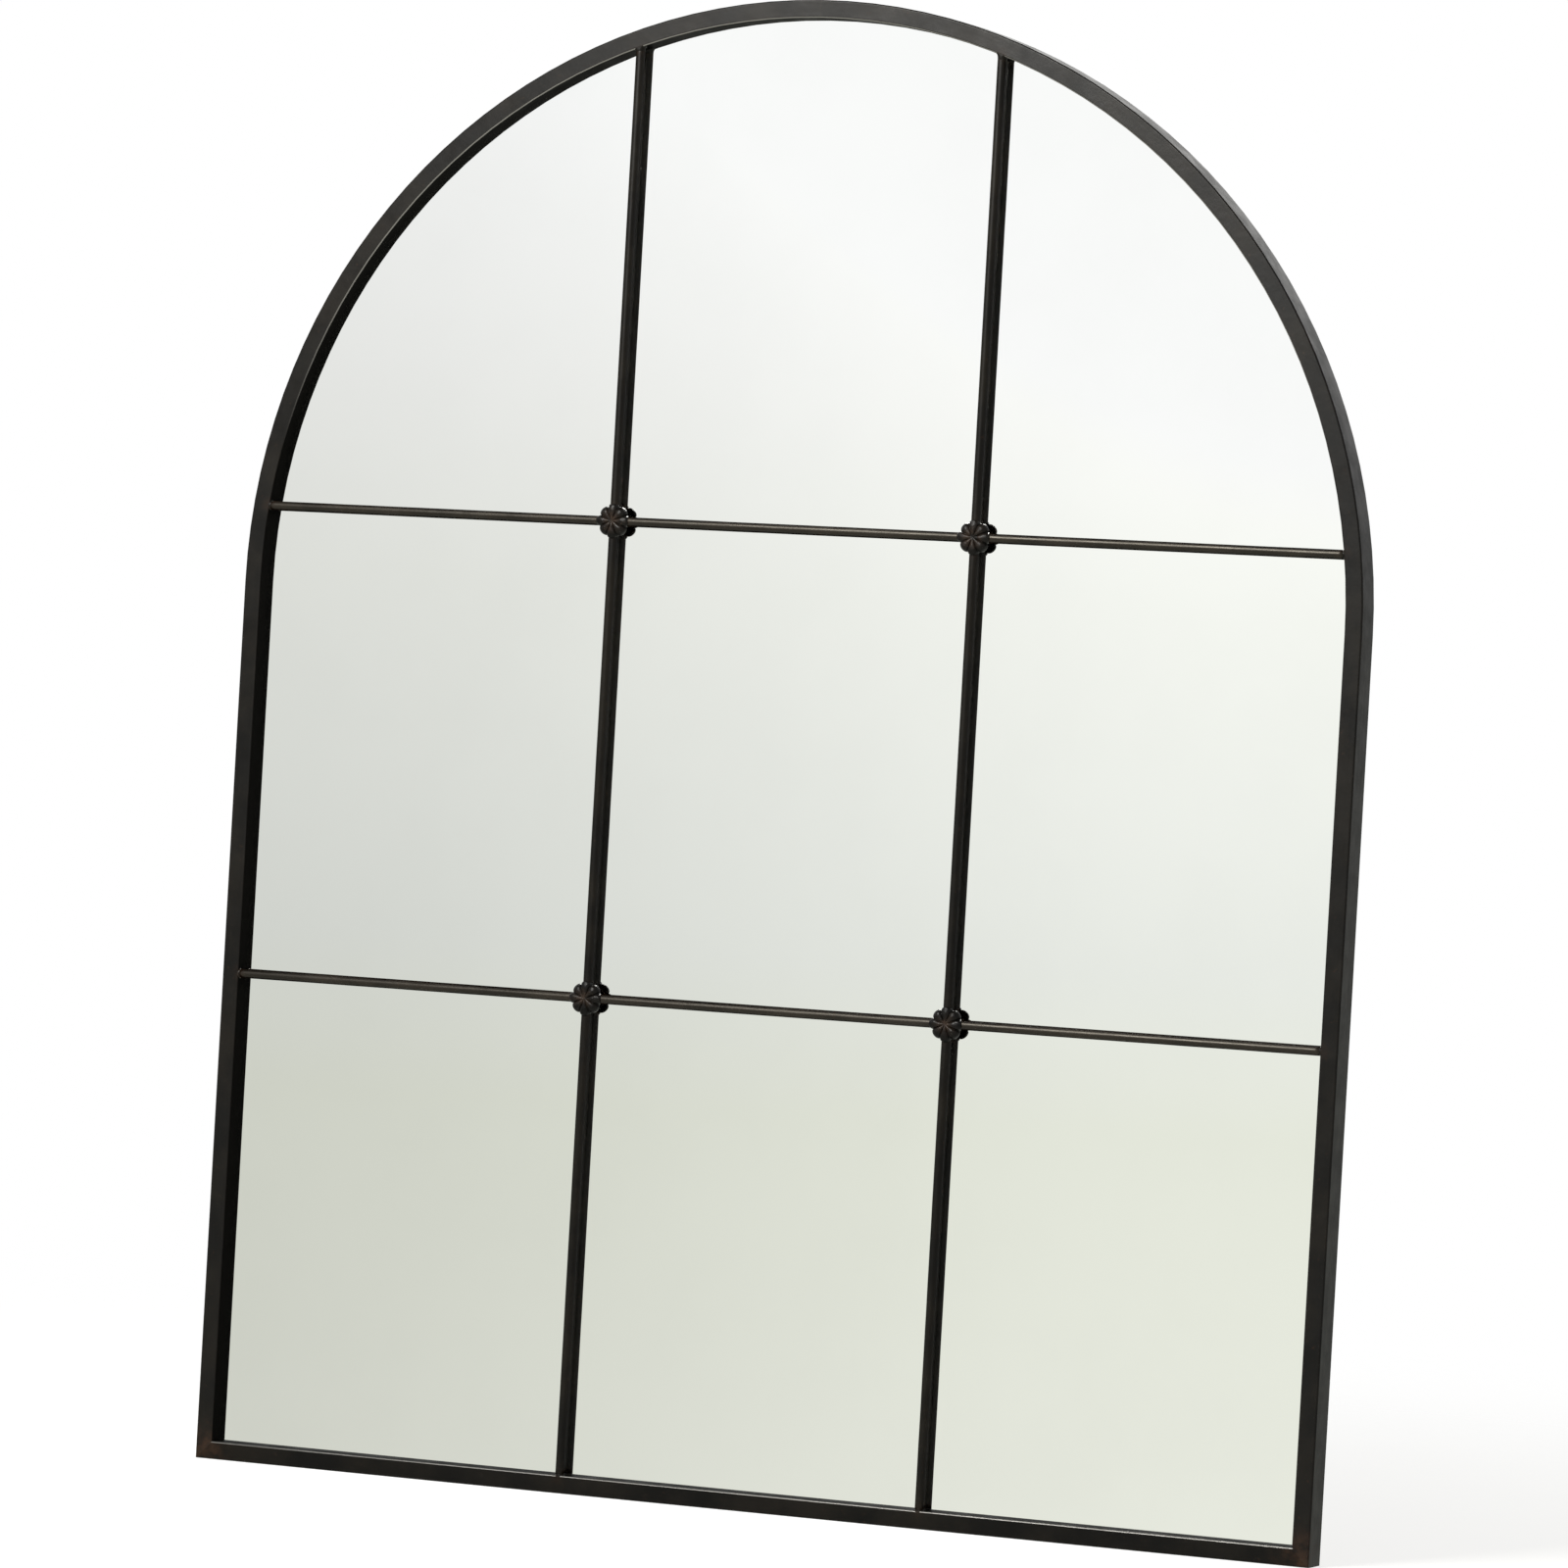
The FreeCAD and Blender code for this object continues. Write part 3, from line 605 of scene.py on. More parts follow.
@dataclass(frozen=True)
class ZincSteel:
    """Zinc-plated steel, dull, with a faint spangle and rubbed marks."""

    slot: Slot = Slot.ZINC_STEEL
    bright: Colour = (0.56, 0.57, 0.58, 1.0)
    grey: Colour = (0.34, 0.35, 0.36, 1.0)
    grain_height: float = 0.00004

    SPANGLE_SCALE = 420.0
    SPANGLE_SHARE = 0.5
    RUBBING = Cloud(130.0, 6.0, 0.65)
    ROUGHNESS = Fade(0.3, 0.7, 0.32, 0.52)
    GRAIN = Cloud(1400.0)
    GRAIN_STRENGTH = 0.5

    def build(self) -> bpy.types.Material:
        """Make the material.

        Returns:
            The finished material.
        """
        material, sheet = new_material(self.slot.value)
        grains = sheet.add("TexVoronoi", {"Vector": sheet.place(), "Scale": self.SPANGLE_SCALE})
        spangle = sheet.add("SeparateColor", {0: grains.outputs["Color"]}).outputs[0]
        rubbed = sheet.noise(self.RUBBING)
        shade = sheet.weigh(spangle, rubbed, self.SPANGLE_SHARE)
        sheet.surface(
            {
                "Base Color": sheet.blend(shade, self.grey, self.bright),
                "Metallic": 1.0,
                "Roughness": sheet.ramp(rubbed, self.ROUGHNESS),
                "Normal": sheet.bump(sheet.noise(self.GRAIN), self.GRAIN_STRENGTH, self.grain_height),
            }
        )
        return material


# Meshes


def new_piece(
    name: str, mesh: bmesh.types.BMesh, finish: bpy.types.Material
) -> bpy.types.Object:
    """Turn a finished mesh into a piece that rides on the iron frame.

    Args:
        name: name of the piece.
        mesh: its mesh, in the row frame.
        finish: its material.

    Returns:
        The new object.
    """
    bmesh.ops.recalc_face_normals(mesh, faces=mesh.faces)
    data = bpy.data.meshes.new(name)
    mesh.to_mesh(data)
    mesh.free()
    for face in data.polygons:
        face.use_smooth = True
    data.materials.append(finish)
    piece = bpy.data.objects.new(name, data)
    bpy.context.scene.collection.objects.link(piece)
    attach(piece, FRAME_BODY)
    LOG.info("made %s with %d faces", name, len(data.polygons))
    return piece


def join_rings(
    mesh: bmesh.types.BMesh, rings: Sequence[Sequence[bmesh.types.BMVert]], closed: bool
) -> None:
    """Skin neighbouring rings of vertices with faces.

    Args:
        mesh: mesh that holds the vertices.
        rings: rings with the same number of vertices each.
        closed: whether the last ring joins the first, instead of both being capped.
    """
    count = len(rings[0])
    pairs = list(zip(rings, rings[1:]))
    if closed:
        pairs.append((rings[-1], rings[0]))
    for lower, upper in pairs:
        for step in range(count):
            following = (step + 1) % count
            mesh.faces.new((lower[step], lower[following], upper[following], upper[step]))
    if not closed:
        mesh.faces.new(rings[0])
        mesh.faces.new(rings[-1])


def smooth(share: float) -> float:
    """Ease a share from 0 to 1, held outside that range."""
    held = min(1.0, max(0.0, share))
    return held * held * (3.0 - 2.0 * held)


def dress(nodes: Iterable[str], finish: bpy.types.Material) -> None:
    """Give CAD nodes a finish.

    Args:
        nodes: names of the nodes.
        finish: the material that they all take.
    """
    for name in nodes:
        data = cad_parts[name].data
        data.materials.clear()
        data.materials.append(finish)
        LOG.info("dressed %s in %s", name, finish.name)


@dataclass(frozen=True)
class WeldCollar:
    """The weld fillet round the end of a rod, flaring on to the rail and flush with its front."""

    middle: tuple[float, float]
    end: RodEnd
    wall: Callable[[float], float]
    rod_radius: float
    front: float
    rounding: float
    flare: float
    sunk: float = 0.00004
    roughness: float = 0.00005
    lump_scale: float = 620.0
    steps: int = 64
    rows: int = 8

    LENGTH_SHARE = 2.0
    ROOT_SHARE = 0.24
    INNER_SHARE = 0.7

    @property
    def length(self) -> float:
        """Give how far the fillet climbs along the rod."""
        return self.LENGTH_SHARE * self.flare

    def add_to(self, mesh: bmesh.types.BMesh) -> None:
        """Add the fillet to a mesh.

        Args:
            mesh: mesh that collects the fillets, in the row frame.
        """
        inner = -self.rod_radius * (1.0 - self.INNER_SHARE)
        root = -self.ROOT_SHARE * self.flare
        loops = [(self.flare, root, True)]
        for row in range(self.rows):
            lean = 0.5 * math.pi * row / (self.rows - 1)
            grow = self.flare * (1.0 - math.sin(lean))
            lift = self.length * (1.0 - math.cos(lean))
            loops.append((grow, lift, True))
        loops += [(inner, self.length, False), (inner, root, False)]
        rings = []
        for grow, lift, lumpy in loops:
            ring = []
            for step in range(self.steps):
                turn = 2.0 * math.pi * step / self.steps
                ring.append(mesh.verts.new(self.point(turn, grow, lift, lumpy)))
            rings.append(ring)
        join_rings(mesh, rings, closed=True)

    def point(self, turn: float, grow: float, lift: float, lumpy: bool) -> Vector:
        """Place one vertex of the fillet.

        Args:
            turn: angle round the rod.
            grow: distance outside the rod's surface.
            lift: distance from the rail along the rod.
            lumpy: whether the vertex gets the weld's unevenness.

        Returns:
            The vertex in the row frame.
        """
        across = self.middle[0] + (self.rod_radius + grow) * math.cos(turn)
        depth = max(self.middle[1] + (self.rod_radius + grow) * math.sin(turn), self.front + self.sunk)
        above_round = max(0.0, self.front + self.rounding - depth)
        recess = self.rounding - math.sqrt(self.rounding ** 2 - above_round ** 2)
        lift -= recess * (1.0 - max(0.0, lift) / self.length)
        along = self.wall(across) + lift * (1.0 if self.end in (RodEnd.UP, RodEnd.RIGHT) else -1.0)
        upright = self.end in (RodEnd.UP, RodEnd.DOWN)
        spot = Vector((across, depth, along)) if upright else Vector((along, depth, across))
        if lumpy:
            spot += noise.noise_vector(spot * self.lump_scale) * self.roughness
        spot.y = max(spot.y, self.front + self.sunk)
        return spot


@dataclass(frozen=True)
class DrawnRod:
    """A round rod with the slight unevenness of drawn iron."""

    start: Point
    end: Point
    radius: float
    row_length: float = 0.004
    steps: int = 28
    unevenness: float = 0.00005
    swell_scale: float = 45.0
    swell_turn: float = 0.02

    FEWEST_ROWS = 2

    def add_to(self, mesh: bmesh.types.BMesh) -> None:
        """Add the rod to a mesh.

        Args:
            mesh: the rod's mesh, in the row frame.
        """
        first, last = Vector(self.start), Vector(self.end)
        along = last - first
        side = Vector((0.0, -1.0, 0.0))
        other = along.normalized().cross(side)
        count = max(self.FEWEST_ROWS, round(along.length / self.row_length))
        rings = []
        for row in range(count + 1):
            middle = first + along * (row / count)
            ring = []
            for step in range(self.steps):
                turn = 2.0 * math.pi * step / self.steps
                out = side * math.cos(turn) + other * math.sin(turn)
                where = (middle + out * self.swell_turn) * self.swell_scale
                swell = noise.noise(where) * self.unevenness
                ring.append(mesh.verts.new(middle + out * (self.radius + swell)))
            rings.append(ring)
        join_rings(mesh, rings, closed=False)


@dataclass(frozen=True)
class WeldRun:
    """A short straight weld bead with the ripples that a hand-held rod leaves."""

    start: Point
    end: Point
    radius: float = 0.0009
    ripple_pitch: float = 0.0011
    ripple_share: float = 0.14
    roughness: float = 0.00022
    lump_scale: float = 700.0
    steps: int = 14
    rings_per_ripple: int = 4

    FEWEST_ROWS = 6
    END_POWER = 6
    END_SHARE = 0.02

    def add_to(self, mesh: bmesh.types.BMesh) -> None:
        """Add the bead to a mesh.

        Args:
            mesh: mesh that collects the beads, in the row frame.
        """
        first, last = Vector(self.start), Vector(self.end)
        along = last - first
        side = along.orthogonal().normalized()
        other = along.normalized().cross(side)
        ripples = along.length / self.ripple_pitch
        count = max(self.FEWEST_ROWS, round(ripples * self.rings_per_ripple))
        rings = []
        for row in range(count + 1):
            share = row / count
            fullness = 1.0 - abs(2.0 * share - 1.0) ** self.END_POWER
            taper = math.sqrt(max(self.END_SHARE, fullness))
            swing = math.sin(2.0 * math.pi * row / self.rings_per_ripple)
            ripple = 1.0 + self.ripple_share * swing
            middle = first + along * share
            ring = []
            for step in range(self.steps):
                turn = 2.0 * math.pi * step / self.steps
                out = side * math.cos(turn) + other * math.sin(turn)
                spot = middle + out * self.radius * taper * ripple
                spot += noise.noise_vector(spot * self.lump_scale) * self.roughness
                ring.append(mesh.verts.new(spot))
            rings.append(ring)
        join_rings(mesh, rings, closed=False)


# Sub-assemblies


@dataclass
class IronFrame:
    """The welded rails and the rims behind them."""

    half_width: float
    spring: float
    rail_face: float
    front: float
    rear: float
    rim: float
    rounding: float = 0.0012
    board_gap: float = 0.0005
    rear_gap: float = 0.0012

    SIDES = ("left_rail", "right_rail", "left_rim", "right_rim")
    BOTTOM = ("bottom_rail", "bottom_rim")

    @classmethod
    def measure(cls) -> "IronFrame":
        """Read the frame's sizes from the CAD nodes.

        Returns:
            The frame with its sizes in metres.
        """
        low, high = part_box("bottom_rail")
        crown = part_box("left_rail")[1].z
        rim_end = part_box("bottom_rim")[1]
        return cls(
            half_width=high.x,
            spring=crown - high.x,
            rail_face=high.z,
            front=low.y,
            rear=rim_end.y,
            rim=rim_end.z,
        )

    @property
    def opening(self) -> float:
        """Half the width of the opening inside the rails, also the arch's inner radius."""
        return self.half_width - self.rail_face

    def wall_above(self, x: float) -> float:
        """Give the height of the arch's inner face at a place across."""
        return self.spring + math.sqrt(self.opening ** 2 - x ** 2)

    def wall_below(self, x: float) -> float:
        """Give the height of the bottom rail's top, the same at every place across."""
        return self.rail_face

    def wall_left(self, z: float) -> float:
        """Give the place of the left inner face at a height."""
        rise = max(0.0, z - self.spring)
        return -math.sqrt(self.opening ** 2 - rise ** 2)

    def wall_right(self, z: float) -> float:
        """Give the place of the right inner face at a height."""
        return -self.wall_left(z)

    def mitres(self) -> tuple[Point, Point]:
        """List the two mitred and welded corners.

        Returns:
            The left and the right corner, in the middle of the bar's face.
        """
        level = self.rail_face / 2.0
        corner = self.half_width - level
        return (-corner, self.front, level), (corner, self.front, level)

    def build(self, weld_finish: bpy.types.Material) -> None:
        """Lay the beads that join the rims at the crown and the bottom corners.

        Args:
            weld_finish: material of the beads.
        """
        mesh = bmesh.new()
        inside = self.half_width - self.rim
        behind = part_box("back_board")[1].y + self.board_gap
        past = self.rear - self.rear_gap
        corners = ((0.0, self.spring + inside), (-inside, self.rim), (inside, self.rim))
        for across, level in corners:
            WeldRun((across, behind, level), (across, past, level)).add_to(mesh)
        new_piece("rim_weld_beads", mesh, weld_finish)

    def dress(self, side_finish: bpy.types.Material, bottom_finish: bpy.types.Material) -> None:
        """Give the rails and rims their finishes.

        Args:
            side_finish: material of the arched side rails and rims.
            bottom_finish: material of the level bottom rail and rim.
        """
        dress(self.SIDES, side_finish)
        dress(self.BOTTOM, bottom_finish)


@dataclass
class Grille:
    """The upright and cross rods, with the beads that weld them into the frame."""

    iron_frame: IronFrame
    rod_radius: float
    depth: float
    upright_x: float
    lower_z: float
    upper_z: float
    head_flare: float = 0.0014
    foot_flare: float = 0.0004

    UPRIGHTS = ("left_upright", "right_upright")
    ROWS = ("lower", "upper")
    PLACES = ("left", "middle", "right")

    @classmethod
    def measure(cls, iron_frame: IronFrame) -> "Grille":
        """Read the grille's sizes from the CAD nodes.

        Args:
            iron_frame: the frame that the rods are welded into.

        Returns:
            The grille with its sizes in metres.
        """
        low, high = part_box("right_upright")
        rows = [sum(corner.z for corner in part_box(f"{row}_middle_rod")) / 2.0 for row in cls.ROWS]
        return cls(
            iron_frame,
            rod_radius=(high.x - low.x) / 2.0,
            depth=(low.y + high.y) / 2.0,
            upright_x=(low.x + high.x) / 2.0,
            lower_z=rows[0],
            upper_z=rows[1],
        )

    @property
    def columns(self) -> tuple[float, float]:
        """Give the places of the two uprights across."""
        return -self.upright_x, self.upright_x

    @property
    def levels(self) -> tuple[float, float]:
        """Give the heights of the two rows of cross rods."""
        return self.lower_z, self.upper_z

    def crossings(self) -> tuple[Point, ...]:
        """List the four places where the rods cross."""
        return tuple((x, self.depth, level) for x in self.columns for level in self.levels)

    def rod_feet(self) -> tuple[Point, ...]:
        """List the places where the rods meet the frame.

        Returns:
            Both ends of each upright, then of each row of cross rods.
        """
        around = self.iron_frame
        feet = []
        for x in self.columns:
            feet += [(x, self.depth, wall(x)) for wall in (around.wall_below, around.wall_above)]
        for level in self.levels:
            feet += [(wall(level), self.depth, level) for wall in (around.wall_left, around.wall_right)]
        return tuple(feet)

    def collar(
        self, place: float, end: RodEnd, wall: Callable[[float], float], flare: float
    ) -> WeldCollar:
        """Give the fillet at one end of a rod.

        Args:
            place: place of an upright across, or height of a cross rod.
            end: which way the rod runs away from the rail.
            wall: the rail's inner face, by the same kind of place.
            flare: how far the fillet spreads on the rail.

        Returns:
            The fillet.
        """
        around = self.iron_frame
        middle = (place, self.depth)
        return WeldCollar(middle, end, wall, self.rod_radius, around.front, around.rounding, flare)

    def build(self, weld_finish: bpy.types.Material) -> None:
        """Lay a bead round each rod's end on the frame.

        Args:
            weld_finish: material of the beads.
        """
        around = self.iron_frame
        uprights = bmesh.new()
        for x in self.columns:
            self.collar(x, RodEnd.UP, around.wall_below, self.foot_flare).add_to(uprights)
            self.collar(x, RodEnd.DOWN, around.wall_above, self.head_flare).add_to(uprights)
        new_piece("upright_weld_beads", uprights, weld_finish)
        cross_rods = bmesh.new()
        for level in self.levels:
            self.collar(level, RodEnd.RIGHT, around.wall_left, self.foot_flare).add_to(cross_rods)
            self.collar(level, RodEnd.LEFT, around.wall_right, self.foot_flare).add_to(cross_rods)
        new_piece("cross_rod_weld_beads", cross_rods, weld_finish)

    def build_rods(
        self, upright_finish: bpy.types.Material, cross_finish: bpy.types.Material
    ) -> None:
        """Make the rods, rounder than the CAD mesh that they stand for.

        Args:
            upright_finish: material of the upright rods.
            cross_finish: material of the cross rods.
        """
        dress(self.UPRIGHTS, upright_finish)
        for node in self.UPRIGHTS:
            low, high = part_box(node)
            middle = (low.x + high.x) / 2.0
            ends = ((middle, self.depth, low.z), (middle, self.depth, high.z))
            self.stand_for(node, DrawnRod(*ends, self.rod_radius), upright_finish)
        for row, level in zip(self.ROWS, self.levels):
            for place in self.PLACES:
                node = f"{row}_{place}_rod"
                dress((node,), cross_finish)
                low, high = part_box(node)
                ends = ((low.x, self.depth, level), (high.x, self.depth, level))
                self.stand_for(node, DrawnRod(*ends, self.rod_radius), cross_finish)

    def stand_for(self, node: str, rod: DrawnRod, finish: bpy.types.Material) -> None:
        """Put a drawn rod in the place of a CAD rod.

        Args:
            node: the CAD rod.
            rod: the finer rod.
            finish: its material.
        """
        mesh = bmesh.new()
        rod.add_to(mesh)
        piece = new_piece(f"drawn_{node}", mesh, finish)
        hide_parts(node)


@dataclass
class Rosettes:
    """The four cast rosettes on the crossings: hollow caps with eight round petals."""

    rod_radius: float
    wall: float = 0.0012
    notch_share: float = 0.87
    groove_share: float = 0.34
    centre_share: float = 0.86
    crest_share: float = 0.55
    slot_clearance: float = 0.0004
    unevenness: float = 0.00018
    rings: int = 26
    steps: int = 192

    PETALS = 8
    NAMES = tuple(f"{row}_{side}_rosette" for row in ("lower", "upper") for side in ("left", "right"))
    LOBE_POWER = 2.2
    LOBE_FULLNESS = 0.6
    FALL_POWER = 2.6
    GROOVE_END = 0.45
    SLOT_START = 0.5
    FIRST_RING = 0.4
    RING_CROWDING = 1.8
    LUMP_SCALE = 420.0

    def fronts(self) -> tuple[Point, ...]:
        """List the middles of the rosettes' fronts."""
        boxes = [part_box(name) for name in self.NAMES]
        return tuple(((low.x + high.x) / 2.0, low.y, (low.z + high.z) / 2.0) for low, high in boxes)

    def lobe(self, turn: float) -> float:
        """Give the roundness of a petal.

        Args:
            turn: angle round the rosette.

        Returns:
            1 along the middle of a petal and 0 in the notch beside it.
        """
        place = turn * self.PETALS / (2.0 * math.pi)
        aside = 2.0 * abs(place - round(place))
        return max(0.0, 1.0 - aside ** self.LOBE_POWER) ** self.LOBE_FULLNESS

    def crest(self, share: float) -> float:
        """Give the height along the middle of a petal.

        Args:
            share: distance from the rosette's centre, as a share of its radius.

        Returns:
            The height as a share of the rosette's height.
        """
        if share < self.crest_share:
            climb = math.sin(0.5 * math.pi * share / self.crest_share)
            return self.centre_share + (1.0 - self.centre_share) * climb
        fall = (share - self.crest_share) / (1.0 - self.crest_share)
        return math.sqrt(max(0.0, 1.0 - fall ** self.FALL_POWER))

    def skin(self, turn: float, share: float, reach: float, rise: float) -> Vector:
        """Place a point of the outer or the inner skin.

        Args:
            turn: angle round the rosette.
            share: distance from the centre, as a share of the radius there.
            reach: radius at the petals' tips.
            rise: height of the petals.

        Returns:
            The point across, forward and up from the middle of the rosette's rim.
        """
        lobe = self.lobe(turn)
        rim = reach * (self.notch_share + (1.0 - self.notch_share) * lobe)
        hollow = self.groove_share * (1.0 - lobe) * smooth(share / self.GROOVE_END)
        height = rise * self.crest(share) * (1.0 - hollow)
        aside = rim * min(abs(math.sin(turn)), abs(math.cos(turn)))
        room = self.rod_radius + self.slot_clearance
        opened = smooth((share - self.SLOT_START) / (1.0 - self.SLOT_START))
        slot = math.sqrt(max(0.0, room ** 2 - aside ** 2)) * opened
        height = slot + height * (rise - slot) / rise
        return Vector((rim * share * math.cos(turn), -height, rim * share * math.sin(turn)))

    def cap(self, middle: Vector, reach: float, rise: float) -> bmesh.types.BMesh:
        """Make one rosette.

        Args:
            middle: middle of the rosette's rim.
            reach: radius at the petals' tips.
            rise: height of the petals.

        Returns:
            The closed mesh, with a hollow behind.
        """
        mesh = bmesh.new()
        remaining = [1.0 - (row + self.FIRST_RING) / self.rings for row in range(self.rings)]
        shares = [1.0 - part ** self.RING_CROWDING for part in remaining] + [1.0]
        rows = [(share, reach, rise) for share in shares]
        rows += [(share, reach - self.wall, rise - self.wall) for share in reversed(shares)]
        skins = []
        for share, radius, height in rows:
            ring = []
            for step in range(self.steps):
                spot = middle + self.skin(2.0 * math.pi * step / self.steps, share, radius, height)
                lump = noise.noise_vector(spot * self.LUMP_SCALE) * self.unevenness
                spot += lump * (1.0 - share)
                ring.append(mesh.verts.new(spot))
            skins.append(ring)
        join_rings(mesh, skins, closed=False)
        return mesh

    def build(self, finish: bpy.types.Material) -> None:
        """Put a finely modelled rosette in the place of each CAD rosette.

        Args:
            finish: material of the rosettes.
        """
        dress(self.NAMES, finish)
        for node in self.NAMES:
            low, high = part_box(node)
            middle = Vector(((low.x + high.x) / 2.0, high.y, (low.z + high.z) / 2.0))
            mesh = self.cap(middle, (high.x - low.x) / 2.0, high.y - low.y - self.unevenness)
            piece = new_piece(f"petalled_{node}", mesh, finish)
            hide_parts(node)


@dataclass
class Glazing:
    """The mirror glass, the back board and the tabs that hold them in."""

    iron_frame: IronFrame
    bead_radius: float = 0.0008
    inset_share: float = 0.08
    depth_share: float = 1.5

    TABS = (
        "left_lower_tab",
        "left_upper_tab",
        "right_lower_tab",
        "right_upper_tab",
        "bottom_left_tab",
        "bottom_right_tab",
        "arch_left_low_tab",
        "arch_left_high_tab",
        "arch_right_low_tab",
        "arch_right_high_tab",
    )
    REAR_TOLERANCE = 1e-6

    def dress(
        self, glass: bpy.types.Material, board: bpy.types.Material, tab: bpy.types.Material
    ) -> None:
        """Give the glass, the board and the tabs their finishes.

        Args:
            glass: finish of the mirror glass.
            board: finish of the back board.
            tab: finish of the retaining tabs.
        """
        dress(("mirror_glass",), glass)
        dress(("back_board",), board)
        dress(self.TABS, tab)

    def outwardness(self, spot: Vector) -> float:
        """Tell how near a place is to the outside of the frame.

        Args:
            spot: a place on a tab.

        Returns:
            About 1 at the outside of the frame, and less further in.
        """
        around = self.iron_frame
        if spot.z < around.spring:
            return max(abs(spot.x) / around.half_width, 1.0 - spot.z / around.spring)
        middle = Vector((0.0, spot.y, around.spring))
        return (spot - middle).length / around.half_width

    def tab_line(self, name: str) -> tuple[Vector, Vector]:
        """Find the line along which a tab's leg meets the rim, at the rear edge of the leg.

        Args:
            name: the tab's node.

        Returns:
            The two ends of the line.
        """
        spots = [vertex.co.copy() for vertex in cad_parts[name].data.vertices]
        rear = max(spot.y for spot in spots)
        edge = [spot for spot in spots if rear - spot.y < self.REAR_TOLERANCE]
        outer = sorted(edge, key=self.outwardness, reverse=True)
        first = outer[0]
        last = max(outer[: len(outer) // 2], key=lambda spot: (spot - first).length)
        return first, last

    def build(self, weld_finish: bpy.types.Material) -> None:
        """Lay the beads that weld the tabs to the rim.

        Args:
            weld_finish: material of the beads.
        """
        mesh = bmesh.new()
        forward = Vector((0.0, -self.depth_share * self.bead_radius, 0.0))
        for name in self.TABS:
            first, last = self.tab_line(name)
            inset = (last - first) * self.inset_share
            start, end = first + inset + forward, last - inset + forward
            WeldRun(tuple(start), tuple(end), radius=self.bead_radius).add_to(mesh)
        new_piece("tab_weld_beads", mesh, weld_finish)


@dataclass
class Hangers:
    """The two hanger plates and the rings that swing in them."""

    bead_radius: float = 0.0011
    bead_depth: float = 0.0012
    lower_gap: float = 0.002
    upper_gap: float = 0.005

    PLATES = ("left_hanger_plate", "right_hanger_plate")
    RINGS = ("left_hanging_ring", "right_hanging_ring")

    def build(self, weld_finish: bpy.types.Material) -> None:
        """Lay the bead that welds each plate's edge to the rim.

        Args:
            weld_finish: material of the beads.
        """
        mesh = bmesh.new()
        for name in self.PLATES:
            low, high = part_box(name)
            edge = low.x if low.x < 0.0 else high.x
            depth = low.y + self.bead_depth
            start = (edge, depth, low.z + self.lower_gap)
            end = (edge, depth, high.z - self.upper_gap)
            WeldRun(start, end, radius=self.bead_radius).add_to(mesh)
        new_piece("hanger_weld_beads", mesh, weld_finish)

    def dress(self, finish: bpy.types.Material) -> None:
        """Give the plates and rings their finish."""
        dress(self.PLATES + self.RINGS, finish)


# Studio


@dataclass(frozen=True)
class PhotoCamera:
    """The photograph's viewpoint, fitted to the frame's outline and the rods.

    Angles are in degrees, distances in widths of the frame and the sensor in millimetres.
    """

    azimuth: float = 23.181
    elevation: float = 0.357
    roll: float = 3.269
    distance: float = 6.4796
    target_across: float = 0.00698
    target_height: float = 0.59984
    focal_pixels: float = 8041.5
    image_pixels: float = 1600.0
    sensor: float = 36.0

    def build(self, iron_frame: IronFrame) -> None:
        """Make the camera and set it as the scene's.

        Args:
            iron_frame: the frame, whose width is the unit of the fitted distances.
        """
        unit = 2.0 * iron_frame.half_width
        turn, lift = math.radians(self.azimuth), math.radians(self.elevation)
        back = Vector(
            (math.sin(turn) * math.cos(lift), -math.cos(turn) * math.cos(lift), math.sin(lift))
        )
        right = Vector((math.cos(turn), math.sin(turn), 0.0))
        up = back.cross(right)
        lean = math.radians(self.roll)
        rolled_right = right * math.cos(lean) + up * math.sin(lean)
        rolled_up = up * math.cos(lean) - right * math.sin(lean)
        target = Vector((self.target_across * unit, iron_frame.front, self.target_height * unit))
        data = bpy.data.cameras.new("photo_camera")
        data.sensor_width = self.sensor
        data.lens = self.focal_pixels * self.sensor / self.image_pixels
        camera = bpy.data.objects.new("photo_camera", data)
        axes = Matrix((rolled_right, rolled_up, back)).transposed().to_4x4()
        camera.matrix_world = Matrix.Translation(target + back * self.distance * unit) @ axes
        bpy.context.scene.collection.objects.link(camera)
        bpy.context.scene.camera = camera
        LOG.info("camera set with a %.1f mm lens", data.lens)


@dataclass(frozen=True)
class SoftBox:
    """One soft lamp of the studio."""

    name: str
    place: Point
    aim: Point
    size: float
    power: float
    colour: tuple[float, float, float] = (1.0, 1.0, 1.0)

    def build(self) -> None:
        """Hang the lamp."""
        data = bpy.data.lights.new(self.name, "AREA")
        data.size = self.size
        data.energy = self.power
        data.color = self.colour
        lamp = bpy.data.objects.new(self.name, data)
        lamp.location = self.place
        away = Vector(self.place) - Vector(self.aim)
        lamp.rotation_euler = away.to_track_quat("Z", "Y").to_euler()
        bpy.context.scene.collection.objects.link(lamp)
        LOG.info("lamp %s at %s", self.name, self.place)


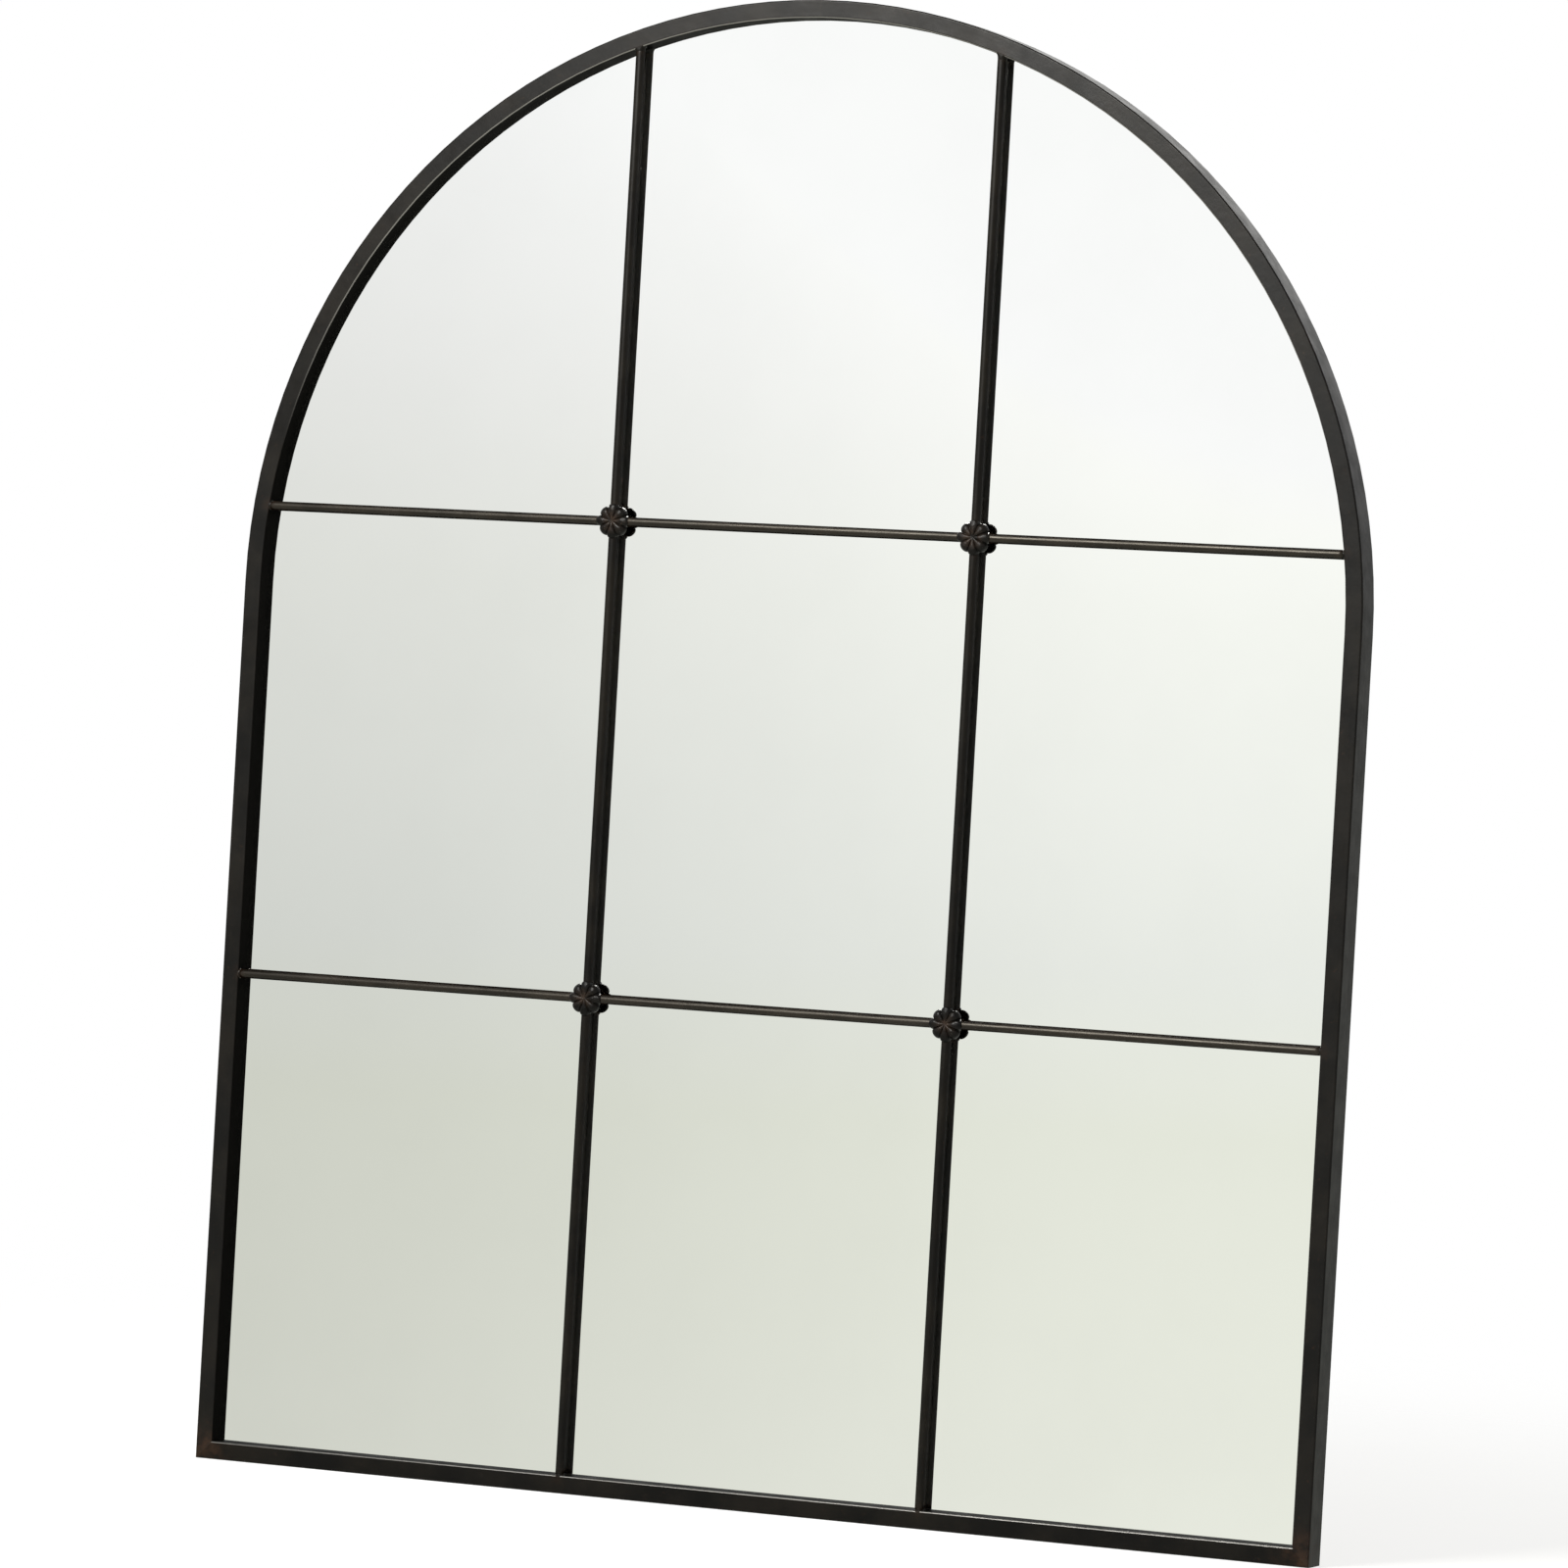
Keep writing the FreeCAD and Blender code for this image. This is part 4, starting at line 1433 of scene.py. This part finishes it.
@dataclass(frozen=True)
class Surroundings:
    """The white studio: what the camera, the mirror and the iron see around the object."""

    ambient: Colour = (0.42, 0.42, 0.40, 1.0)
    brightest: tuple[float, float, float] = (0.985, 0.985, 0.985)
    tones: tuple[tuple[float, Colour], ...] = (
        (-0.105, (0.700, 0.710, 0.645, 1.0)),
        (-0.048, (0.688, 0.702, 0.627, 1.0)),
        (-0.028, (0.712, 0.725, 0.688, 1.0)),
        (0.018, (0.805, 0.812, 0.775, 1.0)),
        (0.045, (0.875, 0.875, 0.860, 1.0)),
        (0.078, (0.965, 0.965, 0.965, 1.0)),
        (0.120, (1.000, 1.000, 1.000, 1.0)),
    )

    LEFT_GLOW = Fade(-0.47, -0.33, 0.91, 1.18)
    FRONT_SHADE = Fade(-0.27, 0.22, 1.0, 0.55)
    BACK_SHADE = Fade(0.20, 0.38, 0.56, 1.0)
    BACK_HALF = Fade(0.1, 0.6)
    PALE_FLOOR = Fade(-0.12, -0.30)
    DIM_CEILING = Fade(0.45, 0.85, 1.0, 0.25)

    def shade(self, sheet: ShaderSheet, parts: Mapping[str, Socket]) -> Socket:
        """Dim the studio towards the right, low behind the object and at the ceiling.

        Args:
            sheet: node sheet of the world.
            parts: direction looked in, by axis.

        Returns:
            Share of the light that comes from that direction.
        """
        glow = sheet.ramp(parts["X"], self.LEFT_GLOW)
        front = sheet.ramp(parts["X"], self.FRONT_SHADE)
        behind = sheet.ramp(parts["Z"], self.BACK_SHADE)
        facing_back = sheet.ramp(parts["Y"], self.BACK_HALF)
        front = sheet.math("MULTIPLY", front, sheet.math("SUBTRACT", 1.0, facing_back))
        sides = sheet.math("ADD", front, sheet.math("MULTIPLY", behind, facing_back))
        sides = sheet.math("MAXIMUM", sides, sheet.ramp(parts["Z"], self.PALE_FLOOR))
        ceiling = sheet.ramp(parts["Z"], self.DIM_CEILING)
        return sheet.math("MULTIPLY", sheet.math("MULTIPLY", sides, ceiling), glow)

    def build(self) -> None:
        """Make the world: white to the camera, a soft horizon to mirrors, even light to the rest."""
        world = bpy.data.worlds.new("white_studio")
        world.use_nodes = True
        bpy.context.scene.world = world
        sheet = ShaderSheet(world.node_tree)
        parts = sheet.split(sheet.add("TexCoord").outputs["Generated"])
        low, high = self.tones[0][0], self.tones[-1][0]
        share = sheet.add("MapRange", {"Value": parts["Z"], "From Min": low, "From Max": high})
        horizon = sheet.add("ValToRGB", {"Fac": share.outputs["Result"]})
        stops = horizon.color_ramp.elements
        stops[0].color = self.tones[0][1]
        stops[1].color = self.tones[-1][1]
        for place, tone in self.tones[1:-1]:
            stops.new((place - low) / (high - low)).color = tone
        shaded = sheet.scaled(horizon.outputs["Color"], self.shade(sheet, parts))
        held = sheet.add("VectorMath", {0: shaded, 1: self.brightest}, operation="MINIMUM")
        glossy = sheet.add("Background", {"Color": held.outputs[0]})
        even = sheet.add("Background", {"Color": self.ambient})
        white = sheet.add("Background", {"Color": WHITE})
        path = sheet.add("LightPath").outputs
        seen = sheet.math("MAXIMUM", path["Is Camera Ray"], path["Is Transmission Ray"])
        around = sheet.mixed(path["Is Glossy Ray"], even, glossy)
        final = sheet.mixed(seen, around, white)
        sheet.add("OutputWorld", {"Surface": final.outputs[0]})


@dataclass(frozen=True)
class Floor:
    """A pale round floor that fades into the white and keeps the object's shadow."""

    radius: float = 1.9
    fade_start: float = 0.5
    drop: float = 0.0002
    glow: float = 0.72
    seen_share: float = 0.5
    steps: int = 96
    colour: tuple[float, float, float] = (0.80, 0.80, 0.79)

    MOTTLE = Cloud(9.0, 4.0)
    MOTTLE_FADE = Fade(0.3, 0.7, 0.985, 1.0)

    def finish(self) -> bpy.types.Material:
        """Make the floor's material.

        Returns:
            The material.
        """
        material, sheet = new_material("pale_floor")
        mottle = sheet.ramp(sheet.noise(self.MOTTLE), self.MOTTLE_FADE)
        paint = sheet.scaled(self.colour, mottle)
        matte = sheet.add("BsdfDiffuse", {"Color": paint})
        lit = sheet.add("BsdfDiffuse", {"Color": sheet.scaled(paint, self.seen_share)})
        white = sheet.add("Emission", {"Color": WHITE, "Strength": self.glow})
        seen = sheet.add("AddShader", {0: white.outputs[0], 1: lit.outputs[0]})
        path = sheet.add("LightPath").outputs
        solid = sheet.mixed(path["Is Camera Ray"], matte, seen)
        out = sheet.add("VectorMath", {0: sheet.place()}, operation="LENGTH").outputs["Value"]
        kept = sheet.ramp(out, Fade(self.fade_start, self.radius, 1.0, 0.0))
        final = sheet.mixed(kept, sheet.add("BsdfTransparent"), solid)
        sheet.add("OutputMaterial", {"Surface": final.outputs[0]})
        return material

    def build(self) -> None:
        """Lay the floor under the object."""
        mesh = bmesh.new()
        bmesh.ops.create_circle(mesh, cap_ends=True, segments=self.steps, radius=self.radius)
        data = bpy.data.meshes.new("pale_floor")
        mesh.to_mesh(data)
        mesh.free()
        data.materials.append(self.finish())
        floor = bpy.data.objects.new("pale_floor", data)
        floor.location.z = -self.drop
        floor.visible_glossy = False
        bpy.context.scene.collection.objects.link(floor)
        LOG.info("laid a floor of %.1f m radius", self.radius)


WARM_WHITE = (1.0, 0.985, 0.945)
SOFT_BLACK: Colour = (0.0022, 0.0018, 0.0012, 1.0)
LAMPS = (
    SoftBox(
        "key_box",
        place=(-0.36, -1.5, 1.6),
        aim=(0.0, 0.0, 0.75),
        size=0.8,
        power=50.0,
        colour=WARM_WHITE,
    ),
    SoftBox(
        "rear_box",
        place=(-0.1, 1.9, 1.7),
        aim=(0.0, 0.0, 0.6),
        size=1.6,
        power=8.0,
        colour=WARM_WHITE,
    ),
)


def main() -> None:
    """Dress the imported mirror, light it and set the camera."""
    logging.basicConfig(level=logging.INFO, format="%(name)s: %(message)s")
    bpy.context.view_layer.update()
    bpy.context.scene.view_settings.view_transform = "Standard"
    iron_frame = IronFrame.measure()
    grille = Grille.measure(iron_frame)
    rosettes = Rosettes(grille.rod_radius)
    iron = Slot.PATINATED_IRON
    corners = Tint(iron_frame.mitres(), reach=0.026, share=0.9)
    feet = Tint(grille.rod_feet(), reach=0.009, share=0.35)
    crossings = Tint(grille.crossings(), reach=0.016, share=0.8)
    hearts = Tint(rosettes.fronts(), reach=0.010, share=0.95)
    bar_iron = Iron(
        "side_bar_iron",
        iron,
        (corners, feet),
        Run.ARCHED,
        frames_opening=True,
        spring=iron_frame.spring,
    ).build()
    bottom_iron = Iron(
        "bottom_bar_iron",
        iron,
        (corners, feet),
        Run.LEVEL,
        frames_opening=True,
        bare=(0.20, 0.196, 0.186, 1.0),
        specular=0.13,
    ).build()
    upright_iron = Iron(
        "upright_rod_iron",
        iron,
        (crossings, feet),
        Run.UPRIGHT,
        dark=SOFT_BLACK,
        light=(0.0075, 0.0060, 0.0038, 1.0),
        specular=0.16,
        outline_gloss=0.2,
    ).build()
    # A lit copy of the rod iron: its dark and light colours are painted lighter than the uprights',
    # painted light on the level rods.
    cross_iron = Iron(
        "cross_rod_iron",
        iron,
        (crossings, feet),
        Run.LEVEL,
        dark=(0.0034, 0.0026, 0.0020, 1.0),
        light=(0.0120, 0.0094, 0.0072, 1.0),
        sheen=(1.0, 0.93, 0.80, 1.0),
        smoothest=0.30,
        roughest=0.40,
        specular=0.36,
        outline_gloss=0.0,
    ).build()
    cast_iron = Iron(
        "cast_iron",
        Slot.CAST_IRON,
        (hearts,),
        dark=(0.0010, 0.0009, 0.0007, 1.0),
        light=(0.0034, 0.0028, 0.0021, 1.0),
        brown=(0.046, 0.029, 0.020, 1.0),
        worn=(0.014, 0.0105, 0.008, 1.0),
        smoothest=0.26,
        roughest=0.40,
        specular=0.16,
        dent_height=0.00040,
        dent_scale=420.0,
    ).build()
    weld_iron = Iron("weld_iron", iron, dark=SOFT_BLACK, specular=0.13).build()
    iron_frame.build(weld_iron)
    iron_frame.dress(bar_iron, bottom_iron)
    grille.build(weld_iron)
    grille.build_rods(upright_iron, cross_iron)
    rosettes.build(cast_iron)
    glazing = Glazing(iron_frame)
    glazing.build(weld_iron)
    glazing.dress(MirrorGlass().build(), Hardboard().build(), bar_iron)
    hangers = Hangers()
    hangers.build(weld_iron)
    hangers.dress(ZincSteel().build())
    Surroundings().build()
    Floor().build()
    for lamp in LAMPS:
        lamp.build()
    PhotoCamera().build(iron_frame)


if __name__ == "__main__":
    main()
